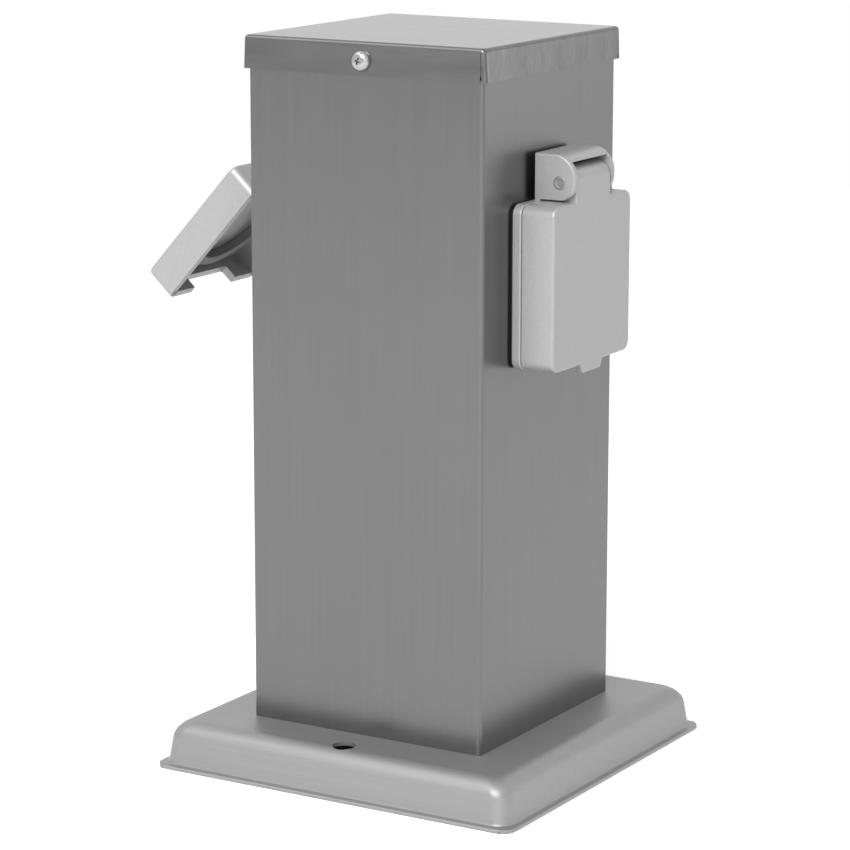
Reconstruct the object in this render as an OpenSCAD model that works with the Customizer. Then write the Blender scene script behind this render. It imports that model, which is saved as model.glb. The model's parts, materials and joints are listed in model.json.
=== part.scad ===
/* [Base plate] */
// Half width of the base over its lip
base_half = 78.2; // [76:0.1:90]
// Height of the pressed base
base_h = 17.7; // [15:0.1:24]
// Sheet thickness of the base
base_t = 1.5; // [1.2:0.1:2]
// Width of the flat lip round the base
lip_w = 2.6; // [2.5:0.1:4]
// Plan radius of the lip's corners
lip_r = 5; // [4.5:0.5:10]
// Plan radius of the corners of the raised part
dish_r = 4; // [4:0.5:7]
// Radius of the bend between the top and the walls
dish_bend_r = 7.5; // [5:0.5:8]
// Lean of the base walls away from upright, in degrees
wall_lean = 7.5; // [6:0.5:16]
// Diameter of each ground bolt hole
ground_hole_d = 9; // [7:0.5:10]
// Distance of each ground bolt hole's middle from the base's edge
ground_hole_inset = 13.6; // [13:0.1:15]

/* [Column] */
// Outer width of the square column
column_w = 100; // [98:0.5:104]
// Height of the column above the base
column_h = 260; // [240:1:330]
// Sheet thickness of the column and of the cap
sheet_t = 1; // [0.9:0.1:1.5]
// Outer bend radius of the column's corners
column_r = 1.6; // [1.6:0.1:3]
// Width of each foot flange
foot_w = 30; // [24:1:40]
// Depth of each foot flange, from the column's outside
foot_depth = 18; // [16:1:22]
// Distance of the foot screws from the column's outside
foot_screw_inset = 10.5; // [9:0.1:12]
// Thread diameter of the foot screws
foot_screw_d = 5; // [4:1:5]

/* [Cap] */
// Clearance between the column and the cap's skirts
cap_gap = 0.3; // [0.3:0.1:0.8]
// Height of the cap's skirts, with its top
cap_h = 11.8; // [11.5:0.1:16]
// Outer bend radius of the cap
cap_r = 1.8; // [1.6:0.1:2.5]
// Radius of the skirts' lower corners
skirt_r = 1.5; // [1:0.1:2]
// Slit between two skirts at a corner
seam_w = 0.4; // [0.3:0.1:0.6]
// Height of the cap screws below the cap's top
cap_screw_drop = 7; // [6:0.1:7.5]
// Thread diameter of the cap screws
cap_screw_d = 4; // [3:1:4]
// Head diameter of the cap screws
cap_head_d = 8; // [7:0.1:8.4]
// Head height of the cap screws
cap_head_h = 2.7; // [2:0.1:3]

/* [Socket] */
// Width of the socket flange and of the lid
lid_w = 59.4; // [57:0.1:62]
// Height of the socket flange and of the lid
lid_h = 61; // [60:0.5:64]
// Height of the socket's middle above the base
socket_z = 172.5; // [165:0.5:180]
// Corner radius of the flange and of the lid
lid_corner_r = 4; // [3:0.5:6]
// Thickness of the gasket under the flange
gasket_t = 1; // [0.8:0.1:1.5]
// Thickness of the flange
flange_t = 3.4; // [3:0.1:4]
// Gap between the flange and the closed lid
lid_gap = 0.3; // [0.3:0.1:0.5]
// Depth of the lid
lid_depth = 13.5; // [13:0.1:15]
// Wall thickness of the lid
lid_wall = 3.2; // [2.6:0.1:3.4]
// Edge rounding of the lid's front
lid_edge_r = 1.2; // [0.8:0.1:1.5]
// Width of the notch in the lid's lower wall
notch_w = 28; // [20:1:32]
// Depth of that notch
notch_d = 6; // [4:0.5:7]
// Height of the finger tab under the lid
tab_h = 3.1; // [2:0.1:4]
// Width of the finger tab where it leaves the lid
tab_w = 18.5; // [14:0.5:24]
// Width of the finger tab's lower edge
tab_tip_w = 13.8; // [10:0.2:13.8]
// Thickness of the finger tab
tab_t = 2.6; // [2:0.1:3]
// Inner diameter of the plug recess
recess_d = 39.5; // [39:0.1:40]
// Depth of the plug recess
recess_depth = 17.5; // [17:0.5:18]
// Height of the round collar above the flange
collar_h = 6.6; // [5:0.1:6.8]
// Diameter of a plug pin hole
pin_hole_d = 5.4; // [5.2:0.1:5.6]
// Distance between the two plug pins
pin_pitch = 19; // [18.5:0.1:19.5]

/* [Hinge] */
// Height of the hinge axis above the lid's top
hinge_rise = 7; // [6.8:0.1:8]
// Diameter of the hinge pin
hinge_pin_d = 5; // [4:0.5:5]
// Running clearance round the hinge pin, on the radius
hinge_play = 0.05; // [0.03:0.01:0.08]
// Outer radius of the lid's knuckle, round the hinge axis
knuckle_r = 5.8; // [5.2:0.1:6]
// Width of the lid's strap and knuckle
strap_w = 26; // [20:0.5:28]
// Gap on each side between the knuckle and an ear
ear_gap = 0.3; // [0.2:0.05:0.5]
// Thickness of each hinge ear
ear_t = 2.3; // [2:0.1:3]
// Height of the hood's top above the hinge axis
hood_rise = 10.5; // [10:0.1:11]
// Thickness of the hood's top bridge
bridge_t = 2.8; // [2.4:0.1:3]
// Angle at which the left lid stands open
left_lid_angle = 42.3; // [0:0.1:95]

/* [Wiring] */
// Outer diameter of an insulated wire
wire_d = 2.8; // [2.4:0.1:3]
// Bore of the cable grommet
grommet_bore = 11; // [9:0.5:13]
// Distance between the poles of the terminal block
pole_pitch = 12; // [12:0.5:14]

/* [Hidden] */
$fn = 64;
e = 0.01;
ROUND = 32;

base_top = base_h;
column_top = base_top + column_h;
half = column_w / 2;
column_in = half - sheet_t;
cap_out = half + cap_gap + sheet_t;
cap_seat = 0.2;
deburr = 0.1;
cap_top = column_top + cap_seat + sheet_t;
cap_screw_z = cap_top - cap_screw_drop;
screw_play = 0.05;

flat_half = base_half - lip_w - dish_bend_r * cos(wall_lean)
    - (base_h - dish_bend_r * (1 - sin(wall_lean)) - base_t) * tan(wall_lean);

ground_hole_y = base_half - ground_hole_inset;
foot_screw_at = half - foot_screw_inset;
foot_screw_r = foot_screw_d / 2;
foot_head_h = 3;
foot_head_r = 4.4;
foot_nut_h = 4;
foot_nut_r = 4.6;
foot_t = sheet_t;

cap_screw_r = cap_screw_d / 2;
cap_nut_h = 3.2;
cap_nut_r = 4.04;

flange_x = half + gasket_t;
flange_face = flange_x + flange_t;
lid_rim_x = flange_face + lid_gap;
lid_front_x = lid_rim_x + lid_depth;
socket_mid = base_top + socket_z;
lid_top_z = lid_h / 2;
hinge_x = lid_front_x - knuckle_r;
hinge_z = lid_top_z + hinge_rise;
hinge_pin_r = hinge_pin_d / 2;
hood_w = strap_w + 2 * ear_gap + 2 * ear_t;
hood_back_t = 2.2;
hood_back_x = flange_x + 1.2;
hood_top_z = hinge_z + hood_rise;
ear_low_r = hinge_rise - 0.7;
ear_high_r = 9;
pin_grip = 0.03;
pin_proud = 0.2;

collar_x = flange_face + collar_h;
collar_r = 23.9;
insert_r = recess_d / 2 + 1.75;
collar_bore_r = insert_r + 0.15;
cutout_r = 23;
shoulder_r = cutout_r - 0.4;
shoulder_t = gasket_t + sheet_t;
floor_x = collar_x - recess_depth;
floor_t = 3;
insert_len = 17.5;
insert_back_x = floor_x - insert_len;
insert_back_r = 18.6;
seal_gap = 0.3;
seal_r_in = 19.6;
seal_r_out = 23.9;

fixing_inset_y = 7.1;
fixing_inset_z = 8.1;
fixing_y = lid_w / 2 - fixing_inset_y;
fixing_z = lid_h / 2 - fixing_inset_z;
fixing_r = 1.75;
fixing_head_r = 3.2;
fixing_head_h = 2;
fixing_nut = 7;
fixing_nut_h = 2.6;

sleeve_r = 3.6;
sleeve_in_r = 2.5;
clamp_w = 8;
clamp_len = 8;
clamp_x = insert_back_x - clamp_len;
clamp_screw_r = 1.5;

clip_w = 6;
clip_t = 0.9;
clip_leg = 18.1;
clip_reach = 2;
clip_seat = 9;
clip_back_x = insert_back_x + clip_seat;
clip_tip_x = collar_x - 3.5;
lug_len = 9;

grommet_r = 10;
grommet_lip = 2.5;
grommet_lip_t = 2;
grommet_groove_play = 0.1;

bracket_t = 1.5;
bracket_stand = 9;
bracket_w = 66;
bracket_foot = 10;
bracket_rise = 62;
bracket_z0 = base_top + bracket_rise;
bracket_h = 26;
bracket_face_y = column_in - bracket_stand;
block_end = 3;
block_w = 3 * pole_pitch + 2 * block_end;
block_d = 14;
block_h = 18;
block_z0 = bracket_z0 + (bracket_h - block_h) / 2;
block_face_y = bracket_face_y - block_d;
pole_y = bracket_face_y - block_d / 2 - 1;
pole_r = 3.2;
pole_in_r = 2.2;
pole_screw_r = 1.5;
well_r = 2.2;
well_depth = 2.4;
block_screw_r = 1.5;
block_head_r = 2.5;
wire_r = wire_d / 2;
wire_rise = 5;
blue_swing = 24;
brown_rise = 22;
brown_swing = 24;
earth_rise = 14;
earth_drop = 9;
loop_rise = 15;
cross_z = block_z0 + block_h + wire_rise;

stud_rise = 40;
stud_z = base_top + stud_rise;
stud_r = 2.5;
stud_len = 12;
earth_nut_r = 4.6;
earth_nut_h = 3.5;
earth_ring_t = 1;
lug_ring_r = 5;
barrel_r = 1.9;
barrel_rise = 6;
barrel_len = 8;

STEEL = "silver";
PLASTIC = "darkgray";
RUBBER = "dimgray";
INNER = "gainsboro";
BRASS = "goldenrod";
ZINC = "lightgray";

// Flat shapes

module round_rect(w, h, r) {
    square([w - 2 * r, h], center = true);
    square([w, h - 2 * r], center = true);
    for (x = [-1, 1], y = [-1, 1])
        translate([x * (w / 2 - r), y * (h / 2 - r)]) circle(r, $fn = ROUND);
}

module hexagon(r) {
    circle(r, $fn = 6);
}

// Repeats and placings

module both_ways() {
    for (turn = [0, 180]) rotate([0, 0, turn]) children();
}

module four_ways() {
    for (turn = [0, 90, 180, 270]) rotate([0, 0, turn]) children();
}

// Lays a shape drawn flat on the socket's face, with its thickness running outwards from x
module on_face(x) {
    translate([x, 0, 0]) rotate([90, 0, 90]) children();
}

module at_fixings() {
    for (y = [-1, 1], z = [-1, 1]) translate([0, y * fixing_y, z * fixing_z]) children();
}

module at_pins() {
    for (y = [-1, 1]) translate([0, y * pin_pitch / 2, 0]) children();
}

module right_side() {
    translate([0, 0, socket_mid]) children();
}

module left_side() {
    translate([0, 0, socket_mid]) rotate([0, 0, 180]) children();
}

module about_hinge(angle) {
    translate([hinge_x, 0, hinge_z]) rotate([0, -angle, 0]) translate([-hinge_x, 0, -hinge_z])
        children();
}

// Cylinder whose axis runs along x, from x0 to x1
module x_cylinder(r, x0, x1) {
    translate([x0, 0, 0]) rotate([0, 90, 0]) cylinder(r = r, h = x1 - x0);
}

// Base, column and cap

// Half width and height of the raised part's outline, at an angle round its bend, for a
// sheet offset inwards by inset
function bend_half(angle, inset) = flat_half + (dish_bend_r - inset) * sin(angle);
function bend_z(angle, inset) = base_h - dish_bend_r + (dish_bend_r - inset) * cos(angle);

module dish_body(inset, foot_z) {
    steps = 8;
    foot_half = base_half - lip_w - inset / cos(wall_lean) + (base_t - foot_z) * tan(wall_lean);
    hull() {
        for (i = [0:steps]) {
            angle = i * (90 - wall_lean) / steps;
            translate([0, 0, bend_z(angle, inset) - e])
                linear_extrude(e)
                    round_rect(2 * bend_half(angle, inset), 2 * bend_half(angle, inset), dish_r - inset);
        }
        translate([0, 0, foot_z])
            linear_extrude(e) round_rect(2 * foot_half, 2 * foot_half, dish_r - inset);
    }
}

module base_plate() {
    color(STEEL)
        difference() {
            union() {
                dish_body(0, base_t - e);
                linear_extrude(base_t) round_rect(2 * base_half, 2 * base_half, lip_r);
            }
            dish_body(base_t, -1);
            both_ways()
                translate([0, ground_hole_y, 0]) cylinder(d = ground_hole_d, h = base_h + 1);
            translate([0, 0, base_h / 2]) cylinder(r = grommet_r, h = base_h);
            four_ways()
                translate([foot_screw_at, 0, base_h / 2]) cylinder(r = foot_screw_r + 0.3, h = base_h);
        }
}

module column() {
    color(STEEL)
        difference() {
            union() {
                translate([0, 0, base_top])
                    linear_extrude(column_h)
                        difference() {
                            round_rect(column_w, column_w, column_r);
                            round_rect(2 * column_in, 2 * column_in, column_r - sheet_t);
                        }
                four_ways()
                    translate([half - foot_depth, -foot_w / 2, base_top])
                        cube([foot_depth - sheet_t / 2, foot_w, foot_t]);
            }
            four_ways()
                translate([foot_screw_at, 0, base_top - 1]) cylinder(r = foot_screw_r + 0.3, h = 5);
            both_ways()
                right_side() {
                    x_cylinder(cutout_r, column_in - 1, half + 1);
                    at_fixings() x_cylinder(fixing_r + 0.3, column_in - 1, half + 1);
                }
            both_ways()
                translate([0, -column_in + 1, cap_screw_z])
                    rotate([90, 0, 0]) cylinder(r = cap_screw_r + 0.2, h = sheet_t + 2);
        }
}

// Section of one skirt and its bend, with the plate's side at the left
module skirt_section() {
    intersection() {
        difference() {
            circle(cap_r);
            circle(cap_r - sheet_t);
        }
        square(cap_r);
    }
    translate([cap_r - sheet_t, cap_r - cap_h]) square([sheet_t, cap_h - cap_r + e]);
}

module cap_side() {
    mitre = seam_w / 2 * sqrt(2);
    skirt_w = 2 * (cap_out - mitre - deburr);
    intersection() {
        translate([0, cap_out - cap_r, cap_top - cap_r])
            rotate([90, 0, 90]) linear_extrude(2 * cap_out, center = true) skirt_section();
        linear_extrude(cap_top + 1)
            polygon([[0, mitre], [cap_out + 1, cap_out + 1 + mitre], [-cap_out - 1, cap_out + 1 + mitre]]);
        translate([0, cap_out + 1, cap_top - cap_h + column_w / 2])
            rotate([90, 0, 0]) linear_extrude(cap_out) round_rect(skirt_w, column_w, skirt_r);
    }
}

module top_cap() {
    color(STEEL)
        difference() {
            union() {
                translate([cap_r - cap_out, cap_r - cap_out, cap_top - sheet_t])
                    cube([2 * (cap_out - cap_r), 2 * (cap_out - cap_r), sheet_t]);
                four_ways() cap_side();
            }
            both_ways()
                translate([0, 1 - column_in, cap_screw_z])
                    rotate([90, 0, 0]) cylinder(r = cap_screw_r + 0.2, h = 5);
        }
}

// Radius of the ball whose cap of height h has a rim of radius r
function ball_r(r, h) = (r * r + h * h) / (2 * h);

// Screw along z with a domed head on z = 0 and a cross recess
module pan_screw(head_r, head_h, shaft_r, shaft_len) {
    dome_h = head_h * 0.55;
    recess_w = head_r * 0.24;
    ball = ball_r(head_r, dome_h);
    difference() {
        union() {
            intersection() {
                cylinder(r = head_r, h = head_h);
                translate([0, 0, head_h - ball]) sphere(ball);
            }
            translate([0, 0, -shaft_len]) cylinder(r = shaft_r, h = shaft_len + e);
        }
        for (turn = [0, 90])
            rotate([0, 0, turn])
                translate([-head_r * 0.56, -recess_w / 2, head_h * 0.45])
                    cube([head_r * 1.12, recess_w, head_h]);
    }
}

module nut(r, h, bore_r) {
    linear_extrude(h)
        difference() {
            hexagon(r);
            circle(bore_r);
        }
}

module cap_screws() {
    color(ZINC)
        both_ways()
            translate([0, -cap_out, cap_screw_z])
                rotate([90, 0, 0])
                    pan_screw(cap_head_d / 2, cap_head_h, cap_screw_r,
                        cap_out - column_in + cap_nut_h + 1);
}

module cap_nuts() {
    color(ZINC)
        both_ways()
            translate([0, cap_nut_h - column_in, cap_screw_z])
                rotate([90, 0, 0]) nut(cap_nut_r, cap_nut_h, cap_screw_r + screw_play);
}

module foot_screws() {
    color(ZINC)
        four_ways()
            translate([foot_screw_at, 0, base_top - base_t])
                rotate([180, 0, 0])
                    pan_screw(foot_head_r, foot_head_h, foot_screw_r,
                        base_t + foot_t + foot_nut_h + 1);
}

module foot_nuts() {
    color(ZINC)
        four_ways()
            translate([foot_screw_at, 0, base_top + foot_t])
                nut(foot_nut_r, foot_nut_h, foot_screw_r + screw_play);
}

module cable_grommet() {
    bore = grommet_bore / 2;
    lip = grommet_r + grommet_lip;
    neck = grommet_r - grommet_groove_play;
    low = base_top - base_t;
    color(RUBBER)
        rotate_extrude()
            polygon([[bore, low - grommet_lip_t], [lip - 0.8, low - grommet_lip_t], [lip, low - 0.8],
                [lip, low], [neck, low], [neck, base_top], [lip, base_top], [lip, base_top + 0.8],
                [lip - 0.8, base_top + grommet_lip_t], [bore, base_top + grommet_lip_t]]);
}

// Terminals and earth

module terminal_bracket() {
    face_half = bracket_w / 2 - bracket_foot;
    color(ZINC)
        difference() {
            translate([0, 0, bracket_z0])
                linear_extrude(bracket_h) {
                    translate([-face_half, bracket_face_y]) square([2 * face_half, bracket_t]);
                    for (side = [0, 1])
                        mirror([side, 0]) {
                            translate([face_half - bracket_t, bracket_face_y])
                                square([bracket_t, bracket_stand]);
                            translate([face_half - bracket_t, column_in - bracket_t])
                                square([bracket_foot + bracket_t, bracket_t]);
                        }
                }
            at_block_screws() block_axis(bracket_face_y + 5, 6, block_screw_r + screw_play);
        }
}

module at_block_screws() {
    for (side = [-1, 1]) translate([side * pole_pitch / 2, 0, block_z0 + block_h / 2]) children();
}

// Cylinder along y that ends at y and runs towards the block's front
module block_axis(y, length, r) {
    translate([0, y, 0]) rotate([90, 0, 0]) cylinder(r = r, h = length);
}

module at_poles() {
    for (pole = [-1:1]) translate([pole * pole_pitch, 0, 0]) children();
}

module at_clamp_screws() {
    at_poles() for (level = [0.25, 0.75]) translate([0, 0, block_z0 + block_h * level]) children();
}

module terminal_block() {
    tooth = 3;
    color(INNER)
        difference() {
            translate([-block_w / 2, block_face_y, block_z0]) cube([block_w, block_d, block_h]);
            at_poles() translate([0, pole_y, block_z0 - 1]) cylinder(r = pole_r, h = block_h + 2);
            at_clamp_screws() block_axis(pole_y, block_d, well_r);
            at_block_screws() {
                block_axis(bracket_face_y + 1, block_d + 2, block_screw_r + 0.2);
                block_axis(block_face_y + well_depth, 5, block_head_r + 0.3);
            }
            for (x = [-1.5, -0.5, 0.5, 1.5], level = [0, 1])
                translate([x * pole_pitch - 0.75, block_face_y - 1, block_z0 + level * block_h - tooth / 2])
                    cube([1.5, tooth, tooth]);
        }
}

module terminal_clamps() {
    color(BRASS)
        at_poles()
            difference() {
                translate([0, pole_y, block_z0]) cylinder(r = pole_r - 0.1, h = block_h);
                translate([0, pole_y, block_z0 - 1]) cylinder(r = pole_in_r, h = block_h + 2);
                for (level = [0.25, 0.75])
                    translate([0, 0, block_z0 + block_h * level])
                        block_axis(pole_y, pole_r + 1, pole_screw_r + screw_play);
            }
}

module clamp_screws() {
    head_y = block_face_y + 1;
    slot_l = 6;
    slot_w = 0.6;
    color(ZINC)
        at_clamp_screws()
            difference() {
                union() {
                    block_axis(pole_y - pole_in_r + 0.6, pole_y - pole_in_r + 0.6 - head_y, pole_screw_r);
                    block_axis(head_y + 1.5, 1.5, well_r - 0.1);
                }
                translate([-slot_l / 2, head_y - 1, -slot_w / 2]) cube([slot_l, 1.7, slot_w]);
            }
}

module block_screws() {
    color(ZINC)
        at_block_screws()
            translate([0, block_face_y + well_depth, 0])
                rotate([90, 0, 0])
                    pan_screw(block_head_r, 1.8, block_screw_r,
                        block_d - well_depth + bracket_t + 1.5);
}

module earth_stud() {
    color(ZINC)
        translate([0, -column_in, stud_z]) rotate([-90, 0, 0]) cylinder(r = stud_r, h = stud_len);
}

module earth_lug() {
    color(ZINC)
        difference() {
            translate([0, -column_in, stud_z]) {
                rotate([-90, 0, 0]) cylinder(r = lug_ring_r, h = earth_ring_t);
                translate([-barrel_r, 0, 0]) cube([2 * barrel_r, earth_ring_t, barrel_rise + 2]);
                translate([0, barrel_r, barrel_rise]) cylinder(r = barrel_r, h = barrel_len);
            }
            translate([0, -column_in - 1, stud_z])
                rotate([-90, 0, 0]) cylinder(r = stud_r + 0.1, h = earth_ring_t + 2);
        }
}

module earth_nuts() {
    color(ZINC)
        for (i = [0, 1])
            translate([0, earth_ring_t + i * (earth_nut_h + screw_play) - column_in, stud_z])
                rotate([-90, 0, 0]) nut(earth_nut_r, earth_nut_h, stud_r + screw_play);
}

// Wires, each a smooth tube through points chosen by hand

function unit(v) = v / norm(v);

// Point on the smooth curve between b and c, whose neighbours are a and d
function curve_point(a, b, c, d, t) =
    0.5 * (2 * b + (c - a) * t + (2 * a - 5 * b + 4 * c - d) * t * t + (3 * b - a - 3 * c + d) * t * t * t);

function smooth_path(p, steps) =
    let (last = len(p) - 1)
    concat([for (i = [0:last - 1], s = [0:steps - 1])
        curve_point(p[max(i - 1, 0)], p[i], p[i + 1], p[min(i + 2, last)], s / steps)], [p[last]]);

function directions(p) =
    let (last = len(p) - 1)
    [for (i = [0:last]) unit(p[min(i + 1, last)] - p[max(i - 1, 0)])];

// Side vectors that turn as little as possible along the path
function side_vectors(dirs, side, i = 0) =
    i >= len(dirs) ? [] :
    let (next = unit(side - (side * dirs[i]) * dirs[i]))
    concat([next], side_vectors(dirs, next, i + 1));

module tube(p, r) {
    sides = 8;
    dirs = directions(p);
    vectors = side_vectors(dirs, [0.3, 1, 0.2]);
    rings = len(p);
    corners = [for (i = [0:rings - 1], k = [0:sides - 1])
        p[i] + r * (cos(k * 360 / sides) * vectors[i] + sin(k * 360 / sides) * cross(dirs[i], vectors[i]))];
    polyhedron(corners, concat(
        [[for (k = [0:sides - 1]) k]],
        [for (i = [0:rings - 2], k = [0:sides - 1])
            [i * sides + k, (i + 1) * sides + k,
                (i + 1) * sides + (k + 1) % sides, i * sides + (k + 1) % sides]],
        [[for (k = [0:sides - 1]) rings * sides - 1 - k]]), convexity = 8);
}

// Path that rises straight, swings over between two heights and rises straight again
function crossing_path(start, finish, low, high) =
    let (steps = 14)
    concat([start],
        [for (i = [0:steps])
            let (t = i / steps, swing = t * t * (3 - 2 * t))
            [start.x + (finish.x - start.x) * swing, start.y + (finish.y - start.y) * swing,
                low + (high - low) * t]],
        [finish]);

// Wires from one pole to the same contact of both sockets
module socket_wires(pole, contact_y, low, high) {
    for (side = [-1, 1])
        tube(crossing_path(
            [pole * pole_pitch + side * (wire_r + 0.1), pole_y, block_z0 + block_h],
            [side * (clamp_x + clamp_len / 2), contact_y, socket_mid - clamp_w / 2], low, high), wire_r);
}

module brown_wires() {
    color("saddlebrown")
        socket_wires(-1, pin_pitch / 2, cross_z + brown_rise, cross_z + brown_rise + brown_swing);
}

module blue_wires() {
    color("royalblue") socket_wires(1, -pin_pitch / 2, cross_z, cross_z + blue_swing);
}

module earth_wires() {
    top = block_z0 + block_h;
    lug_z = socket_mid - clip_leg - clip_t - lug_len / 2;
    lug_top = stud_z + barrel_rise + barrel_len;
    barrel_y = barrel_r - column_in;
    color("olivedrab") {
        for (side = [-1, 1]) {
            x = side * (wire_r + 0.1);
            tube(smooth_path([[x, pole_y, top], [x, pole_y, top + earth_rise],
                [x, pole_y, top + 2 * earth_rise],
                [side * clip_back_x / 12, 0.84 * pole_y, top + 3 * earth_rise],
                [side * clip_back_x / 5, 0.43 * pole_y, lug_z - earth_drop],
                [side * clip_back_x * 0.4, 0.12 * pole_y, lug_z - earth_drop / 4],
                [side * clip_back_x * 0.6, 0, lug_z], [side * clip_back_x * 0.8, 0, lug_z],
                [side * clip_back_x, 0, lug_z]], 4), wire_r);
        }
        tube(smooth_path([[0, barrel_y, lug_top], [0, barrel_y, lug_top + loop_rise / 3],
            [0, barrel_y, lug_top + loop_rise * 2 / 3], [0, barrel_y * 0.92, lug_top + loop_rise],
            [0, barrel_y * 0.62, lug_top + loop_rise * 1.2], [0, barrel_y * 0.2, lug_top + loop_rise * 0.8],
            [0, pole_y * 0.25, lug_top + loop_rise * 0.2], [0, pole_y * 0.72, block_z0 - loop_rise * 1.2],
            [0, pole_y * 0.95, block_z0 - loop_rise], [0, pole_y, block_z0 - loop_rise * 2 / 3],
            [0, pole_y, block_z0 - loop_rise / 3],
            [0, pole_y, block_z0]], 4), wire_r);
    }
}

// Socket, drawn once for the right side about the socket's middle and turned for the left

module gasket() {
    edge = 0.8;
    color(RUBBER)
        difference() {
            on_face(half)
                linear_extrude(gasket_t)
                    round_rect(lid_w - 2 * edge, lid_h - 2 * edge, lid_corner_r - edge);
            x_cylinder(cutout_r, half - 1, flange_x + 1);
            at_fixings() x_cylinder(fixing_r + 0.3, half - 1, flange_x + 1);
        }
}

// Side view of a hinge ear, drawn with the socket's x to the right and z upwards
module ear_section() {
    high_z = hood_rise - ear_high_r;
    high_x = ear_low_r - sqrt(ear_high_r * ear_high_r - high_z * high_z);
    back = hood_back_x - hinge_x;
    translate([hinge_x, hinge_z]) {
        circle(ear_low_r);
        translate([back, -ear_low_r]) square([-back, ear_low_r + e]);
        translate([back, 0]) square([high_x - back, hood_rise]);
        intersection() {
            translate([high_x, high_z]) circle(ear_high_r);
            translate([high_x - e, 0]) square(2 * ear_high_r);
        }
    }
}

// Stands a side view up in the socket's x and z plane, centred on y = 0
module along_hinge(width) {
    rotate([90, 0, 0]) linear_extrude(width, center = true) children();
}

module hinge_hole(r, width) {
    translate([hinge_x, 0, hinge_z]) rotate([90, 0, 0]) cylinder(r = r, h = width, center = true);
}

module frame() {
    color(PLASTIC)
        difference() {
            union() {
                on_face(flange_x) linear_extrude(flange_t) round_rect(lid_w, lid_h, lid_corner_r);
                x_cylinder(collar_r, flange_face - 1, collar_x);
                on_face(hood_back_x)
                    linear_extrude(hood_back_t)
                        translate([-hood_w / 2, lid_top_z - lid_corner_r])
                            square([hood_w, hood_top_z - lid_top_z + lid_corner_r]);
                for (side = [-1, 1])
                    translate([0, side * (hood_w - ear_t) / 2, 0]) along_hinge(ear_t) ear_section();
                along_hinge(hood_w)
                    intersection() {
                        ear_section();
                        translate([hood_back_x, hood_top_z - bridge_t]) square([2 * ear_high_r, bridge_t]);
                    }
            }
            x_cylinder(collar_bore_r, flange_x - 1, collar_x + 1);
            at_fixings() x_cylinder(fixing_r + 0.2, flange_x - 1, flange_face + 1);
            hinge_hole(hinge_pin_r + pin_grip, hood_w + 1);
        }
}

module frame_screws() {
    color(ZINC)
        at_fixings()
            translate([flange_face, 0, 0])
                rotate([0, 90, 0])
                    pan_screw(fixing_head_r, fixing_head_h, fixing_r,
                        flange_face - column_in + fixing_nut_h + 1);
}

module frame_nuts() {
    color(ZINC)
        at_fixings()
            difference() {
                translate([column_in - fixing_nut_h, -fixing_nut / 2, -fixing_nut / 2])
                    cube([fixing_nut_h, fixing_nut, fixing_nut]);
                x_cylinder(fixing_r + screw_play, column_in - fixing_nut_h - 1, half);
            }
}

module insert() {
    rib_w = 4.6;
    rib_h = 1.5;
    slot_w = clip_w + 0.4;
    color(INNER)
        difference() {
            union() {
                difference() {
                    union() {
                        x_cylinder(insert_r, floor_x - floor_t, collar_x);
                        x_cylinder(shoulder_r, flange_x - shoulder_t, flange_x);
                        x_cylinder(insert_back_r, insert_back_x, floor_x - floor_t + e);
                    }
                    x_cylinder(recess_d / 2, floor_x, collar_x + 1);
                }
                for (side = [0, 180])
                    rotate([side, 0, 0])
                        translate([floor_x - e, recess_d / 2 - rib_h, -rib_w / 2])
                            cube([recess_depth - 3, rib_h + 0.8, rib_w]);
            }
            at_pins() {
                x_cylinder(pin_hole_d / 2, floor_x - floor_t - 1, floor_x + 1);
                x_cylinder(sleeve_r + 0.1, insert_back_x - 1, floor_x - floor_t);
            }
            translate([clip_back_x - 0.1, -slot_w / 2, -cutout_r])
                cube([clip_t + 0.2, slot_w, 2 * cutout_r]);
            for (side = [0, 180])
                rotate([side, 0, 0])
                    translate([clip_back_x - 0.1, -slot_w / 2, clip_leg - 0.1])
                        cube([floor_x - clip_back_x + 1, slot_w, clip_t + 0.2]);
        }
}

module contacts() {
    slit_w = 0.8;
    slit_len = 9;
    color(BRASS)
        at_pins()
            difference() {
                union() {
                    x_cylinder(sleeve_r, insert_back_x - e, floor_x - floor_t - 0.2);
                    translate([clamp_x, -clamp_w / 2, -clamp_w / 2]) cube([clamp_len, clamp_w, clamp_w]);
                }
                x_cylinder(sleeve_in_r, insert_back_x - 2, floor_x);
                translate([floor_x - floor_t - slit_len, -sleeve_r - 1, -slit_w / 2])
                    cube([slit_len + 1, 2 * sleeve_r + 2, slit_w]);
                for (side = [-1, 1])
                    translate([clamp_x + clamp_len / 2, side * (clamp_w / 2 + 1), 0])
                        rotate([side * 90, 0, 0]) cylinder(r = clamp_screw_r + screw_play, h = 5);
            }
}

module contact_screws() {
    color(ZINC)
        for (side = [-1, 1])
            translate([clamp_x + clamp_len / 2, side * (pin_pitch / 2 + clamp_w / 2), 0])
                rotate([side * -90, 0, 0]) pan_screw(2.6, 1.6, clamp_screw_r, 3.5);
}

module earth_clip() {
    back = clip_back_x;
    front = back + clip_t;
    inside = clip_leg;
    outside = clip_leg + clip_t;
    bend = clip_tip_x - 3.5;
    flat = bend - 4;
    color(BRASS)
        along_hinge(clip_w)
            polygon([[back, -outside - lug_len], [back, outside], [flat, outside],
                [bend, outside - clip_reach], [clip_tip_x, outside], [clip_tip_x, inside],
                [bend, inside - clip_reach], [flat, inside], [front, inside], [front, -inside],
                [flat, -inside], [bend, clip_reach - inside], [clip_tip_x, -inside],
                [clip_tip_x, -outside], [bend, clip_reach - outside], [flat, -outside],
                [front, -outside], [front, -outside - lug_len]]);
}

// Lid

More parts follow.
